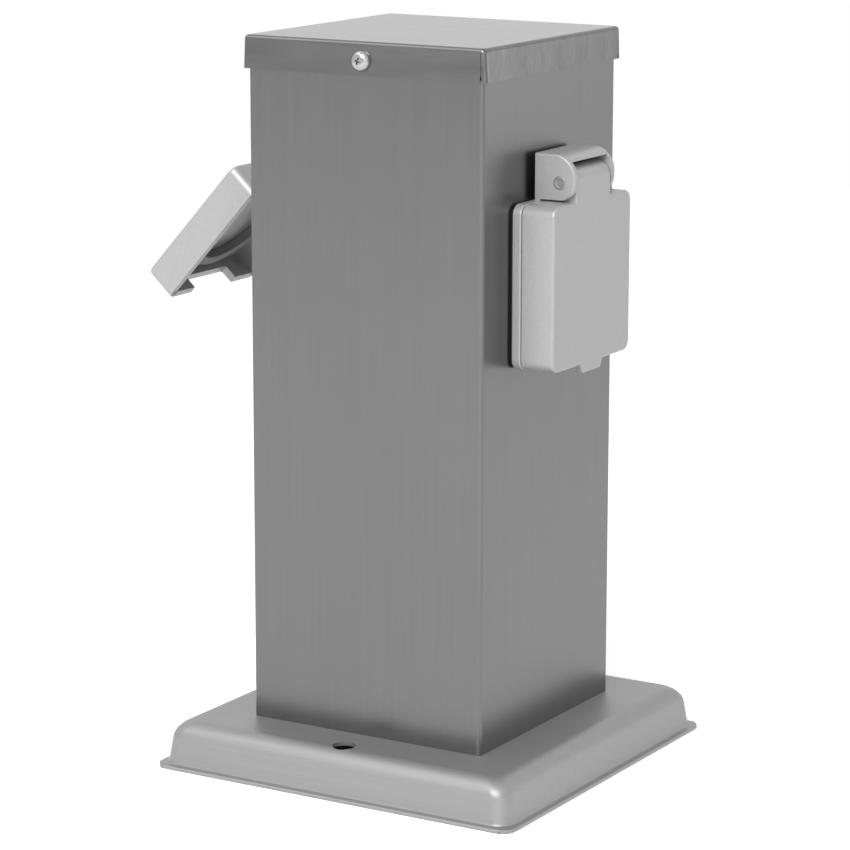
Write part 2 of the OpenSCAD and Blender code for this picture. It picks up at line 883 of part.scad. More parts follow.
// Front of the lid, rounded off towards its face
module lid_front() {
    steps = 3;
    hull()
        for (i = [0:steps]) {
            angle = i * 90 / steps;
            inset = lid_edge_r * (1 - cos(angle));
            on_face(lid_front_x - lid_edge_r + (lid_edge_r - e) * sin(angle))
                linear_extrude(e) round_rect(lid_w - 2 * inset, lid_h - 2 * inset, lid_corner_r - inset);
        }
}

module lid() {
    inner_r = max(lid_corner_r - lid_wall, 0.8);
    inner_x = lid_front_x - lid_wall;
    bottom = -lid_h / 2;
    color(PLASTIC)
        difference() {
            union() {
                difference() {
                    union() {
                        on_face(lid_rim_x)
                            linear_extrude(lid_depth - lid_edge_r) round_rect(lid_w, lid_h, lid_corner_r);
                        lid_front();
                    }
                    on_face(lid_rim_x - 1)
                        linear_extrude(lid_depth - lid_wall + 1)
                            round_rect(lid_w - 2 * lid_wall, lid_h - 2 * lid_wall, inner_r);
                    translate([lid_rim_x - 1, -notch_w / 2, bottom - 1])
                        cube([notch_d + 1, notch_w, lid_wall + 2]);
                }
                difference() {
                    x_cylinder(seal_r_out + 1.6, inner_x - 2, inner_x + 0.5);
                    x_cylinder(seal_r_out + 0.3, inner_x - 3, inner_x);
                }
                on_face(lid_front_x - tab_t)
                    linear_extrude(tab_t)
                        polygon([[-tab_w / 2, bottom + 1.5], [-tab_w / 2, bottom], [-tab_tip_w / 2, bottom - tab_h],
                            [tab_tip_w / 2, bottom - tab_h], [tab_w / 2, bottom], [tab_w / 2, bottom + 1.5]]);
                hinge_hole(knuckle_r, strap_w);
                translate([hinge_x - 1, -strap_w / 2, lid_top_z - lid_edge_r - 1])
                    cube([knuckle_r + 1, strap_w, hinge_rise + lid_edge_r + 1]);
            }
            hinge_hole(hinge_pin_r + hinge_play, strap_w + 1);
        }
}

module lid_seal() {
    color(RUBBER)
        difference() {
            x_cylinder(seal_r_out, collar_x + seal_gap, lid_front_x - lid_wall);
            x_cylinder(seal_r_in, collar_x, lid_front_x);
        }
}

module hinge_pin() {
    color(ZINC) hinge_hole(hinge_pin_r, hood_w + 2 * pin_proud);
}

base_plate();
column();
top_cap();
cap_screws();
cap_nuts();
foot_screws();
foot_nuts();
cable_grommet();
terminal_bracket();
terminal_block();
terminal_clamps();
clamp_screws();
block_screws();
earth_stud();
earth_lug();
earth_nuts();
brown_wires();
blue_wires();
earth_wires();
right_side() gasket();  // right_gasket
right_side() frame();  // right_frame
right_side() frame_screws();  // right_frame_screws
right_side() frame_nuts();  // right_frame_nuts
right_side() insert();  // right_insert
right_side() contacts();  // right_contacts
right_side() contact_screws();  // right_contact_screws
right_side() earth_clip();  // right_earth_clip
right_side() lid();  // right_lid
right_side() lid_seal();  // right_lid_seal
right_side() hinge_pin();  // right_hinge_pin
left_side() gasket();  // left_gasket
left_side() frame();  // left_frame
left_side() frame_screws();  // left_frame_screws
left_side() frame_nuts();  // left_frame_nuts
left_side() insert();  // left_insert
left_side() contacts();  // left_contacts
left_side() contact_screws();  // left_contact_screws
left_side() earth_clip();  // left_earth_clip
left_side() about_hinge(left_lid_angle) lid();  // left_lid
left_side() about_hinge(left_lid_angle) lid_seal();  // left_lid_seal
left_side() hinge_pin();  // left_hinge_pin
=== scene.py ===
"""Garden socket post: a steel column on a pressed foot plate, with a lidded socket on two sides.

Lengths of the post are in millimetres in the model's own frame: +Z is up and the front faces -Y.
Lamps, floor and the relief of the finishes are in metres.
A socket's pieces are drawn for the right-hand side, with x outwards from the column's axis and z
counted from the socket's middle, and are then turned to the side that they belong to.
"""

from __future__ import annotations

import json
import logging
import math
from collections.abc import Callable, Iterator
from contextlib import contextmanager
from dataclasses import dataclass, field
from enum import Enum

import bmesh
import bpy
from bpy.types import Material, Node, NodeSocket, NodeTree, Object
from mathutils import Matrix, Vector

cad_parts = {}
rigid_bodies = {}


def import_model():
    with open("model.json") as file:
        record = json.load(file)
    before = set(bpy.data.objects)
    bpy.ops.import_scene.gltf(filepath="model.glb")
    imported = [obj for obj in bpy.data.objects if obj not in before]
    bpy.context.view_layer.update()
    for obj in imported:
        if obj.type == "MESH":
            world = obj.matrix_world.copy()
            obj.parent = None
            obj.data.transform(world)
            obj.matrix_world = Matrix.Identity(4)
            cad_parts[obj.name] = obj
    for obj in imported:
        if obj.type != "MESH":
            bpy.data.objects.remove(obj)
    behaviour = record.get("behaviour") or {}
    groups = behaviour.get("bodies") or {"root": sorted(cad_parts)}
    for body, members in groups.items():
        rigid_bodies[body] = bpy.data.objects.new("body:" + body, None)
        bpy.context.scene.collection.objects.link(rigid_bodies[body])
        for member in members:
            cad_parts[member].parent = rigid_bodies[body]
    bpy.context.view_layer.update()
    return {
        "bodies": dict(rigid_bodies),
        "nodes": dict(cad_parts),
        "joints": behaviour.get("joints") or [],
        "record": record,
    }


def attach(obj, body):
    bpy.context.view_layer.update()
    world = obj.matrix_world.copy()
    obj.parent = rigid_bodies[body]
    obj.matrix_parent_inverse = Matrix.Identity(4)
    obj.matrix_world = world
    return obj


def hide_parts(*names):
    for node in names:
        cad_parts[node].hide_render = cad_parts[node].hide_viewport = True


LOG = logging.getLogger("socket_post")

MM = 0.001
# A face looks along an axis when its normal has at least this much of it
FACING = 0.99
# Points no further apart than this, in millimetres, count as level
CLOSE = 0.01
# How far a cutting shape reaches past what it cuts, in millimetres
OVER = 1.0
# Edges of the solid model count as sharp from this many degrees on
SHARP_ANGLE = 30.0

Point = tuple[float, float, float]
Colour = tuple[float, float, float]
Number = NodeSocket | float
EdgeTest = Callable[[Vector, Vector], bool]
FaceTest = Callable[[bmesh.types.BMFace], bool]

UNSTRETCHED: Point = (1.0, 1.0, 1.0)
WHITE = (1.0, 1.0, 1.0, 1.0)


class Slot(Enum):
    """Material slots of the record."""

    SHEET = "stainless_sheet"
    SCREWS = "stainless_screws"
    ZINC = "zinc_steel"
    SILVER = "silver_plastic"
    GREY = "grey_plastic"
    TERMINAL = "terminal_plastic"
    RUBBER = "black_rubber"
    SEAL = "grey_rubber"
    BRASS = "brass"
    BROWN = "brown_insulation"
    BLUE = "blue_insulation"
    EARTH = "earth_insulation"


class Side(Enum):
    """The two sockets, each with the turn about the column's axis that brings it to its place."""

    RIGHT = 0.0
    LEFT = math.pi

    @property
    def word(self) -> str:
        """Prefix of this side's node names."""
        return self.name.lower()


# Making and shaping meshes


def deselect_everything() -> None:
    """Leave edit mode and deselect every object."""
    active = bpy.context.view_layer.objects.active
    if active is not None and active.mode != "OBJECT":
        bpy.ops.object.mode_set(mode="OBJECT")
    bpy.ops.object.select_all(action="DESELECT")


def pick(piece: Object) -> None:
    """Make one object the only selected one and the active one.

    Args:
        piece: the object to pick.
    """
    deselect_everything()
    piece.select_set(True)
    bpy.context.view_layer.objects.active = piece


@contextmanager
def editing(piece: Object) -> Iterator[bmesh.types.BMesh]:
    """Open an object's mesh in edit mode with nothing selected.

    Args:
        piece: the mesh object to edit.

    Yields:
        The open mesh.
    """
    pick(piece)
    bpy.ops.object.mode_set(mode="EDIT")
    bpy.ops.mesh.select_mode(type="EDGE")
    bpy.ops.mesh.select_all(action="DESELECT")
    yield bmesh.from_edit_mesh(piece.data)
    bpy.ops.object.mode_set(mode="OBJECT")


def named(name: str) -> Object:
    """Name the object that was just added and apply its place to its mesh.

    Args:
        name: the name that it gets.

    Returns:
        The object.
    """
    piece = bpy.context.view_layer.objects.active
    piece.name = name
    piece.data.name = name
    bpy.ops.object.transform_apply(location=True, rotation=True, scale=True)
    return piece


def block(name: str, low: Point, high: Point) -> Object:
    """Add a cuboid.

    Args:
        name: the new object's name.
        low: its lowest corner.
        high: its highest corner.

    Returns:
        The new object.
    """
    deselect_everything()
    middle = [(a + b) / 2 * MM for a, b in zip(low, high)]
    size = [(b - a) * MM for a, b in zip(low, high)]
    bpy.ops.mesh.primitive_cube_add(size=1, location=middle, scale=size)
    return named(name)


def rod(name: str, start: Point, end: Point, radius: float, sides: int = 64) -> Object:
    """Add a cylinder between two points.

    Args:
        name: the new object's name.
        start: the middle of one end.
        end: the middle of the other end.
        radius: its radius.
        sides: how many flat sides stand for the round one.

    Returns:
        The new object.
    """
    deselect_everything()
    first, last = Vector(start) * MM, Vector(end) * MM
    turn = (last - first).to_track_quat("Z", "Y").to_euler()
    middle, length = (first + last) / 2, (last - first).length
    bpy.ops.mesh.primitive_cylinder_add(
        vertices=sides, radius=radius * MM, depth=length, location=middle, rotation=turn
    )
    return named(name)


def from_axis(point: Vector) -> float:
    """Return how far a point is from the column's axis, measured square to the faces."""
    return max(abs(point.x), abs(point.y))


def select_edges(mesh: bmesh.types.BMesh, test: EdgeTest) -> None:
    """Select the edges whose two ends, in millimetres, pass a test together."""
    for edge in mesh.edges:
        edge.select_set(test(edge.verts[0].co / MM, edge.verts[1].co / MM))


def round_edges(piece: Object, radius: float, steps: int, test: EdgeTest) -> None:
    """Round off chosen edges.

    Args:
        piece: the object to shape.
        radius: the rounding's radius.
        steps: how many flat strips stand for the rounding.
        test: tells from an edge's two ends whether it is rounded.
    """
    with editing(piece) as mesh:
        select_edges(mesh, test)
        bpy.ops.mesh.bevel(
            offset=radius * MM, offset_type="OFFSET", segments=steps, profile=0.5, affect="EDGES"
        )


def select_faces(mesh: bmesh.types.BMesh, test: FaceTest) -> None:
    """Select the faces that pass a test.

    Args:
        mesh: the open mesh.
        test: tells of a face whether it is selected.
    """
    bpy.ops.mesh.select_mode(type="FACE")
    for face in mesh.faces:
        face.select_set(test(face))


def hollow(piece: Object, wall: float, push: Point, test: FaceTest) -> None:
    """Hollow a solid out from one side.

    Args:
        piece: the object to shape.
        wall: the thickness of the walls that stay.
        push: how far and which way the floor of the hollow goes in.
        test: picks the face that is opened.
    """
    with editing(piece) as mesh:
        select_faces(mesh, test)
        bpy.ops.mesh.inset(thickness=wall * MM, depth=0.0)
        bpy.ops.mesh.extrude_region_move(TRANSFORM_OT_translate={"value": tuple(Vector(push) * MM)})


def combine(piece: Object, other: Object, operation: str) -> None:
    """Add another solid to a piece, or cut it away, and delete the other solid.

    Args:
        piece: the object that stays.
        other: the object that is used up.
        operation: UNION or DIFFERENCE.
    """
    pick(piece)
    tool = piece.modifiers.new("combine", "BOOLEAN")
    tool.operation = operation
    tool.solver = "EXACT"
    tool.object = other
    bpy.ops.object.modifier_apply(modifier=tool.name)
    pick(other)
    bpy.ops.object.delete()


def add(piece: Object, *others: Object) -> Object:
    """Fuse other solids to a piece.

    Args:
        piece: the object that grows.
        others: the solids that are used up.

    Returns:
        The same piece.
    """
    for other in others:
        combine(piece, other, "UNION")
    return piece


def cut(piece: Object, *others: Object) -> Object:
    """Cut other solids out of a piece.

    Args:
        piece: the object that is cut.
        others: the solids that are used up.

    Returns:
        The same piece.
    """
    for other in others:
        combine(piece, other, "DIFFERENCE")
    return piece


def tube(name: str, start: Point, end: Point, outer: float, inner: float) -> Object:
    """Add a straight tube between two points.

    Args:
        name: the new object's name.
        start: the middle of one end.
        end: the middle of the other end.
        outer: its outer radius.
        inner: its inner radius.

    Returns:
        The new object.
    """
    first, last = Vector(start), Vector(end)
    over = (last - first).normalized() * OVER
    bore = rod(f"{name}_bore", tuple(first - over), tuple(last + over), inner)
    return cut(rod(name, start, end, outer), bore)


def smooth(piece: Object, angle: float = 35.0) -> Object:
    """Merge doubles, tidy flat areas and shade the piece smooth with its flat faces kept flat.

    Args:
        piece: the object to finish.
        angle: edges sharper than this many degrees stay sharp.

    Returns:
        The same object.
    """
    with editing(piece):
        bpy.ops.mesh.select_all(action="SELECT")
        bpy.ops.mesh.remove_doubles(threshold=0.002 * MM)
        bpy.ops.mesh.dissolve_limited(angle_limit=math.radians(0.1))
        bpy.ops.mesh.normals_make_consistent(inside=False)
    pick(piece)
    bpy.ops.object.shade_smooth_by_angle(angle=math.radians(angle))
    weigh = piece.modifiers.new("weigh", "WEIGHTED_NORMAL")
    weigh.keep_sharp = True
    weigh.weight = 100
    bpy.ops.object.modifier_apply(modifier=weigh.name)
    return piece


def moved(piece: Object, place: Matrix) -> Object:
    """Apply a placing, in metres, to a piece's mesh.

    Args:
        piece: the object to place.
        place: where it goes, as a matrix.

    Returns:
        The same object.
    """
    pick(piece)
    piece.matrix_world = place
    bpy.ops.object.transform_apply(location=True, rotation=True, scale=True)
    return piece


def twin(piece: Object, name: str) -> Object:
    """Copy a piece with a mesh of its own.

    Args:
        piece: the object to copy.
        name: the copy's name.

    Returns:
        The copy.
    """
    pick(piece)
    bpy.ops.object.duplicate(linked=False)
    copy = bpy.context.view_layer.objects.active
    copy.name = name
    copy.data.name = name
    return copy


def finished(piece: Object, finish: Material, slot: Slot, body: str, *nodes: str) -> Object:
    """Dress a piece, let it stand for its nodes and fix it to its body.

    Args:
        piece: the finished mesh.
        finish: its material.
        slot: the record's slot for that material; it is not used.
        body: the body that it rides on.
        nodes: the nodes of the solid model that it stands for.

    Returns:
        The same object.
    """
    piece.data.materials.clear()
    piece.data.materials.append(finish)
    if nodes:
        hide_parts(*nodes)
    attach(piece, body)
    LOG.info("made %s with %d faces", piece.name, len(piece.data.polygons))
    return piece


# Finishes


def grey(value: float) -> Colour:
    """Return a neutral colour."""
    return (value, value, value)


def maths(tree: NodeTree, operation: str, first: Number, second: Number) -> NodeSocket:
    """Join two numbers by a sum, product or the like.

    Args:
        tree: where the node goes.
        operation: the sum's kind, as Blender names it.
        first: the first number.
        second: the second number.

    Returns:
        The result.
    """
    node = tree.nodes.new("ShaderNodeMath")
    node.operation = operation
    for socket, value in zip(node.inputs, (first, second)):
        if isinstance(value, NodeSocket):
            tree.links.new(value, socket)
        else:
            socket.default_value = value
    return node.outputs["Value"]


class Dressing:
    """A material under construction, with its Principled surface."""

    def __init__(self, name: str, colour: Colour, roughness: float, metallic: float) -> None:
        """Start a material.

        Args:
            name: the material's name.
            colour: the plain colour, which patterns then vary.
            roughness: the plain roughness.
            metallic: 1 for bare metal, 0 for the rest.
        """
        self.material = bpy.data.materials.new(name)
        self.material.use_nodes = True
        self.tree = self.material.node_tree
        self.surface = self.tree.nodes["Principled BSDF"]
        self.surface.inputs["Base Color"].default_value = (*colour, 1.0)
        self.surface.inputs["Roughness"].default_value = roughness
        self.surface.inputs["Metallic"].default_value = metallic
        self.material.diffuse_color = (*colour, 1.0)

    def node(self, kind: str, group: NodeTree | None = None, **inputs: object) -> Node:
        """Add a node and set the named inputs that aren't joined to another.

        Args:
            kind: the node's type, as Blender names it.
            group: the node group that it places, if it places one.
            inputs: values by their sockets' names, with an underscore for each blank.

        Returns:
            The node.
        """
        made = self.tree.nodes.new(kind)
        if group is not None:
            made.node_tree = group
        for key, value in inputs.items():
            made.inputs[key.replace("_", " ")].default_value = value
        return made

    def group(self, tree: NodeTree, **inputs: object) -> Node:
        """Place a node group with its own values."""
        return self.node("ShaderNodeGroup", tree, **inputs)

    def join(self, start: NodeSocket, end: NodeSocket) -> None:
        """Join two sockets."""
        self.tree.links.new(start, end)

    def place(self, scale: Point) -> NodeSocket:
        """Return object coordinates stretched along each axis.

        Args:
            scale: how much finer a pattern gets along each axis.

        Returns:
            The coordinates.
        """
        mapping = self.node("ShaderNodeMapping", Scale=scale)
        self.join(self.node("ShaderNodeTexCoord").outputs["Object"], mapping.inputs["Vector"])
        return mapping.outputs["Vector"]

    def relief(self, height: NodeSocket, depth: float) -> None:
        """Turn a height into a bump on the surface.

        Args:
            height: the height, from 0 to 1.
            depth: what a height of 1 stands for, in metres.
        """
        bump = self.node("ShaderNodeBump", Distance=depth, Strength=1.0)
        self.join(height, bump.inputs["Height"])
        self.join(bump.outputs["Normal"], self.surface.inputs["Normal"])


class GroupMaker:
    """A node group under construction, with named inputs and outputs."""

    def __init__(self, name: str) -> None:
        """Start a group that takes a Vector.

        Args:
            name: the group's name.
        """
        self.tree = bpy.data.node_groups.new(name, "ShaderNodeTree")
        self.start = self.tree.nodes.new("NodeGroupInput")
        self.end = self.tree.nodes.new("NodeGroupOutput")
        self.tree.interface.new_socket("Vector", in_out="INPUT", socket_type="NodeSocketVector")

    def takes(self, name: str, value: float) -> None:
        """Give the group a number to take in."""
        socket = self.tree.interface.new_socket(name, in_out="INPUT", socket_type="NodeSocketFloat")
        socket.default_value = value

    def gives(self, name: str, source: NodeSocket) -> None:
        """Give the group a number to put out."""
        self.tree.interface.new_socket(name, in_out="OUTPUT", socket_type="NodeSocketFloat")
        self.tree.links.new(source, self.end.inputs[name])

    def noise(self, scale: float, detail: float) -> NodeSocket:
        """Add a noise over the group's Vector and return it.

        Args:
            scale: how fine it is.
            detail: how many finer layers it has.

        Returns:
            The noise, from 0 to 1.
        """
        noise = self.tree.nodes.new("ShaderNodeTexNoise")
        noise.inputs["Scale"].default_value = scale
        noise.inputs["Detail"].default_value = detail
        self.tree.links.new(self.start.outputs["Vector"], noise.inputs["Vector"])
        return noise.outputs["Fac"]

    def blend(self, first: NodeSocket, second: NodeSocket, share: float) -> NodeSocket:
        """Mix two patterns, with the first one's share of the result."""
        mine = maths(self.tree, "MULTIPLY", first, share)
        return maths(self.tree, "ADD", mine, maths(self.tree, "MULTIPLY", second, 1.0 - share))

    def around_one(self, pattern: NodeSocket, amount: Number) -> NodeSocket:
        """Turn a pattern from 0 to 1 into a factor that swings about 1 by an amount."""
        swing = maths(self.tree, "MULTIPLY", maths(self.tree, "SUBTRACT", pattern, 0.5), amount)
        return maths(self.tree, "ADD", 1.0, swing)


def make_brush_group() -> NodeTree:
    """Build the pattern of fine brush lines over a soft cloudiness.

    Returns:
        The group.
    """
    made = GroupMaker("brush lines")
    made.takes("Contrast", 0.2)
    made.takes("Cloud", 0.1)
    fine = made.noise(1.0, 3.0)
    broad = made.noise(0.12, 2.0)
    made.gives("Shade", made.around_one(made.blend(fine, broad, 0.65), made.start.outputs["Contrast"]))
    made.gives("Height", fine)
    made.gives("Roughness shade", made.around_one(broad, made.start.outputs["Cloud"]))
    return made.tree


def make_cloud_group() -> NodeTree:
    """Build a soft, uneven tone such as handled metal and plastic have.

    Returns:
        The group.
    """
    made = GroupMaker("soft clouds")
    made.takes("Amount", 0.1)
    wide = made.noise(9.0, 2.0)
    close = made.noise(70.0, 3.0)
    made.gives("Shade", made.around_one(made.blend(wide, close, 0.7), made.start.outputs["Amount"]))
    return made.tree


def make_skin_group() -> NodeTree:
    """Build a fine, even skin such as moulded plastic, rubber and plated metal have.

    Returns:
        The group.
    """
    made = GroupMaker("fine skin")
    made.takes("Contrast", 0.05)
    grain = made.noise(2600.0, 2.0)
    made.gives("Height", grain)
    made.gives("Shade", made.around_one(made.noise(1500.0, 3.0), made.start.outputs["Contrast"]))
    return made.tree


@dataclass(frozen=True)
class Groups:
    """The node groups that the finishes share."""

    brush: NodeTree = field(default_factory=make_brush_group)
    cloud: NodeTree = field(default_factory=make_cloud_group)
    skin: NodeTree = field(default_factory=make_skin_group)


@dataclass(frozen=True)
class BrushedSheet:
    """Stainless sheet with brush lines.

    Attributes:
        lines: how fine the lines are along each axis, so that they run where it is small.
        contrast: how much the lines vary the colour.
        depth: how deep they are, in metres.
        cloud: how much a soft cloudiness varies the colour.
        rubbing: how much it varies the roughness.
    """

    name: str
    colour: Colour
    roughness: float
    lines: Point
    contrast: float = 0.16
    depth: float = 0.000012
    cloud: float = 0.1
    rubbing: float = 0.16
    metallic: float = 1.0

    def make(self, groups: Groups) -> Material:
        """Build the material.

        Args:
            groups: the node groups that finishes share.

        Returns:
            The material.
        """
        dressing = Dressing(self.name, self.colour, self.roughness, self.metallic)
        brush = dressing.group(groups.brush, Contrast=self.contrast, Cloud=self.rubbing)
        dressing.join(dressing.place(self.lines), brush.inputs["Vector"])
        cloud = dressing.group(groups.cloud, Amount=self.cloud)
        dressing.join(dressing.place(UNSTRETCHED), cloud.inputs["Vector"])
        tone = maths(dressing.tree, "MULTIPLY", brush.outputs["Shade"], cloud.outputs["Shade"])
        vary_colour(dressing, self.colour, tone)
        vary_roughness(dressing, self.roughness, brush.outputs["Roughness shade"])
        dressing.relief(brush.outputs["Height"], self.depth)
        return dressing.material


@dataclass(frozen=True)
class FineSkin:
    """Moulded plastic, rubber or plated or turned metal, with a fine skin.

    Attributes:
        contrast: how much the skin varies the colour.
        depth: how deep it is, in metres.
        cloud: how much a soft cloudiness varies colour and roughness.
    """

    name: str
    colour: Colour
    roughness: float
    metallic: float = 0.0
    contrast: float = 0.05
    depth: float = 0.00002
    cloud: float = 0.05

    def make(self, groups: Groups) -> Material:
        """Build the material.

        Args:
            groups: the node groups that finishes share.

        Returns:
            The material.
        """
        dressing = Dressing(self.name, self.colour, self.roughness, self.metallic)
        whole = dressing.place(UNSTRETCHED)
        skin = dressing.group(groups.skin, Contrast=self.contrast)
        cloud = dressing.group(groups.cloud, Amount=self.cloud)
        dressing.join(whole, skin.inputs["Vector"])
        dressing.join(whole, cloud.inputs["Vector"])
        tone = maths(dressing.tree, "MULTIPLY", skin.outputs["Shade"], cloud.outputs["Shade"])
        vary_colour(dressing, self.colour, tone)
        vary_roughness(dressing, self.roughness, cloud.outputs["Shade"])
        dressing.relief(skin.outputs["Height"], self.depth)
        return dressing.material


def vary_colour(dressing: Dressing, colour: Colour, factor: NodeSocket) -> None:
    """Multiply the surface's colour by a factor that changes over it.

    Args:
        dressing: the material under construction.
        colour: the colour where the factor is 1.
        factor: the factor.
    """
    mix = dressing.node("ShaderNodeMix")
    mix.data_type = "RGBA"
    mix.blend_type = "MULTIPLY"
    mix.inputs["Factor"].default_value = 1.0
    colour_in = [s for s in mix.inputs if s.type == "RGBA"]
    colour_in[0].default_value = (*colour, 1.0)
    dressing.join(factor, colour_in[1])
    colour_out = [s for s in mix.outputs if s.type == "RGBA"]
    dressing.join(colour_out[0], dressing.surface.inputs["Base Color"])


def vary_roughness(dressing: Dressing, roughness: float, factor: NodeSocket) -> None:
    """Multiply the surface's roughness by a factor that changes over it."""
    product = maths(dressing.tree, "MULTIPLY", factor, roughness)
    dressing.join(product, dressing.surface.inputs["Roughness"])


class Finishes:
    """All materials of the post."""

    def __init__(self) -> None:
        """Build every material once."""
        groups = Groups()
        upright = (2600.0, 2600.0, 22.0)
        across = (22.0, 2600.0, 2600.0)
        slanted = (22.0, 900.0, 160.0)
        column = BrushedSheet("brushed column", grey(0.175), 0.3, upright, contrast=0.25)
        cap = BrushedSheet("brushed cap", grey(0.172), 0.24, slanted, contrast=0.9, depth=0.000006)
        # The foot plate's copy of the stainless sheet is painted lighter than the column's and cap's,
        # and its lower metallic share adds a diffuse part. This is painted light that brightens the
        # plate's flat top. Its cross-brushed satin finish is real.
        pressed = BrushedSheet(
            "satin pressing", grey(0.33), 0.46, across, contrast=0.3, depth=0.000006, metallic=0.62
        )
        metal = {"metallic": 1.0, "contrast": 0.04, "depth": 0.00001}
        bare = FineSkin("bare steel", grey(0.42), 0.2, metallic=1.0, contrast=0.02, depth=0.000004)
        turned = FineSkin("turned pin", grey(0.4), 0.45, metallic=1.0, contrast=0.04, depth=0.000006)
        silver = FineSkin("silver moulding", grey(0.45), 0.34, metallic=0.22, contrast=0.22)
        self.cap = cap.make(groups)
        self.pressed = pressed.make(groups)
        self.screw = bare.make(groups)
        self.pin = turned.make(groups)
        self.silver = silver.make(groups)
        others = {
            Slot.SHEET: column,
            Slot.ZINC: FineSkin("zinc plating", (0.42, 0.43, 0.44), 0.38, **metal),
            Slot.GREY: FineSkin("grey moulding", (0.4, 0.4, 0.41), 0.45),
            Slot.TERMINAL: FineSkin("terminal moulding", (0.68, 0.67, 0.62), 0.5),
            Slot.RUBBER: FineSkin("black rubber", grey(0.025), 0.62, contrast=0.1, depth=0.00004),
            Slot.SEAL: FineSkin("grey seal rubber", grey(0.24), 0.6, contrast=0.08, depth=0.00003),
            Slot.BRASS: FineSkin("plain brass", (0.6, 0.45, 0.2), 0.3, **metal),
            Slot.BROWN: FineSkin("brown insulation", (0.16, 0.06, 0.025), 0.4),
            Slot.BLUE: FineSkin("blue insulation", (0.04, 0.12, 0.4), 0.4),
            Slot.EARTH: FineSkin("earth insulation", (0.3, 0.42, 0.06), 0.4),
        }
        self.by_slot = {slot: other.make(groups) for slot, other in others.items()}
        self.by_slot[Slot.SCREWS] = self.screw
        self.by_slot[Slot.SILVER] = self.silver

    def for_slot(self, slot: str) -> Material:
        """Return the material that a record slot stands for."""
        return self.by_slot[Slot(slot)]


def dress_nodes(frame: dict, finishes: Finishes) -> None:
    """Give every node of the solid model its material.

    Args:
        finishes: the materials.
    """
    for entry in frame["record"]["subparts"]:
        node = frame["nodes"].get(entry["node"])
        if node is None:
            continue
        material = finishes.for_slot(entry["material_slot"])
        if not node.material_slots:
            node.data.materials.append(material)
        for slot in node.material_slots:
            slot.material = material


# Camera, lamps and floor


def seen_rays(tree: NodeTree) -> NodeSocket:
    """Tell what is seen straight on, in a reflection or through glass.

    Args:
        tree: where the nodes go.

    Returns:
        1 for what is seen so, and else 0.
    """
    path = tree.nodes.new("ShaderNodeLightPath")
    total = path.outputs["Is Camera Ray"]
    for ray in ("Is Glossy Ray", "Is Transmission Ray"):
        total = maths(tree, "MAXIMUM", total, path.outputs[ray])
    return total


@dataclass(frozen=True)
class Softbox:
    """A rectangular lamp that faces the post, in metres and watts."""

    name: str
    place: Point
    width: float
    height: float
    watts: float

    def make(self, aim: Vector) -> None:
        """Hang the lamp and turn it to the aim.

        Args:
            aim: the point that the lamp faces.
        """
        data = bpy.data.lights.new(self.name, "AREA")
        data.shape = "RECTANGLE"
        data.size = self.width
        data.size_y = self.height
        data.energy = self.watts
        lamp = bpy.data.objects.new(self.name, data)
        bpy.context.scene.collection.objects.link(lamp)
        lamp.location = self.place
        lamp.rotation_mode = "QUATERNION"
        lamp.rotation_quaternion = (aim - Vector(self.place)).to_track_quat("-Z", "Y")


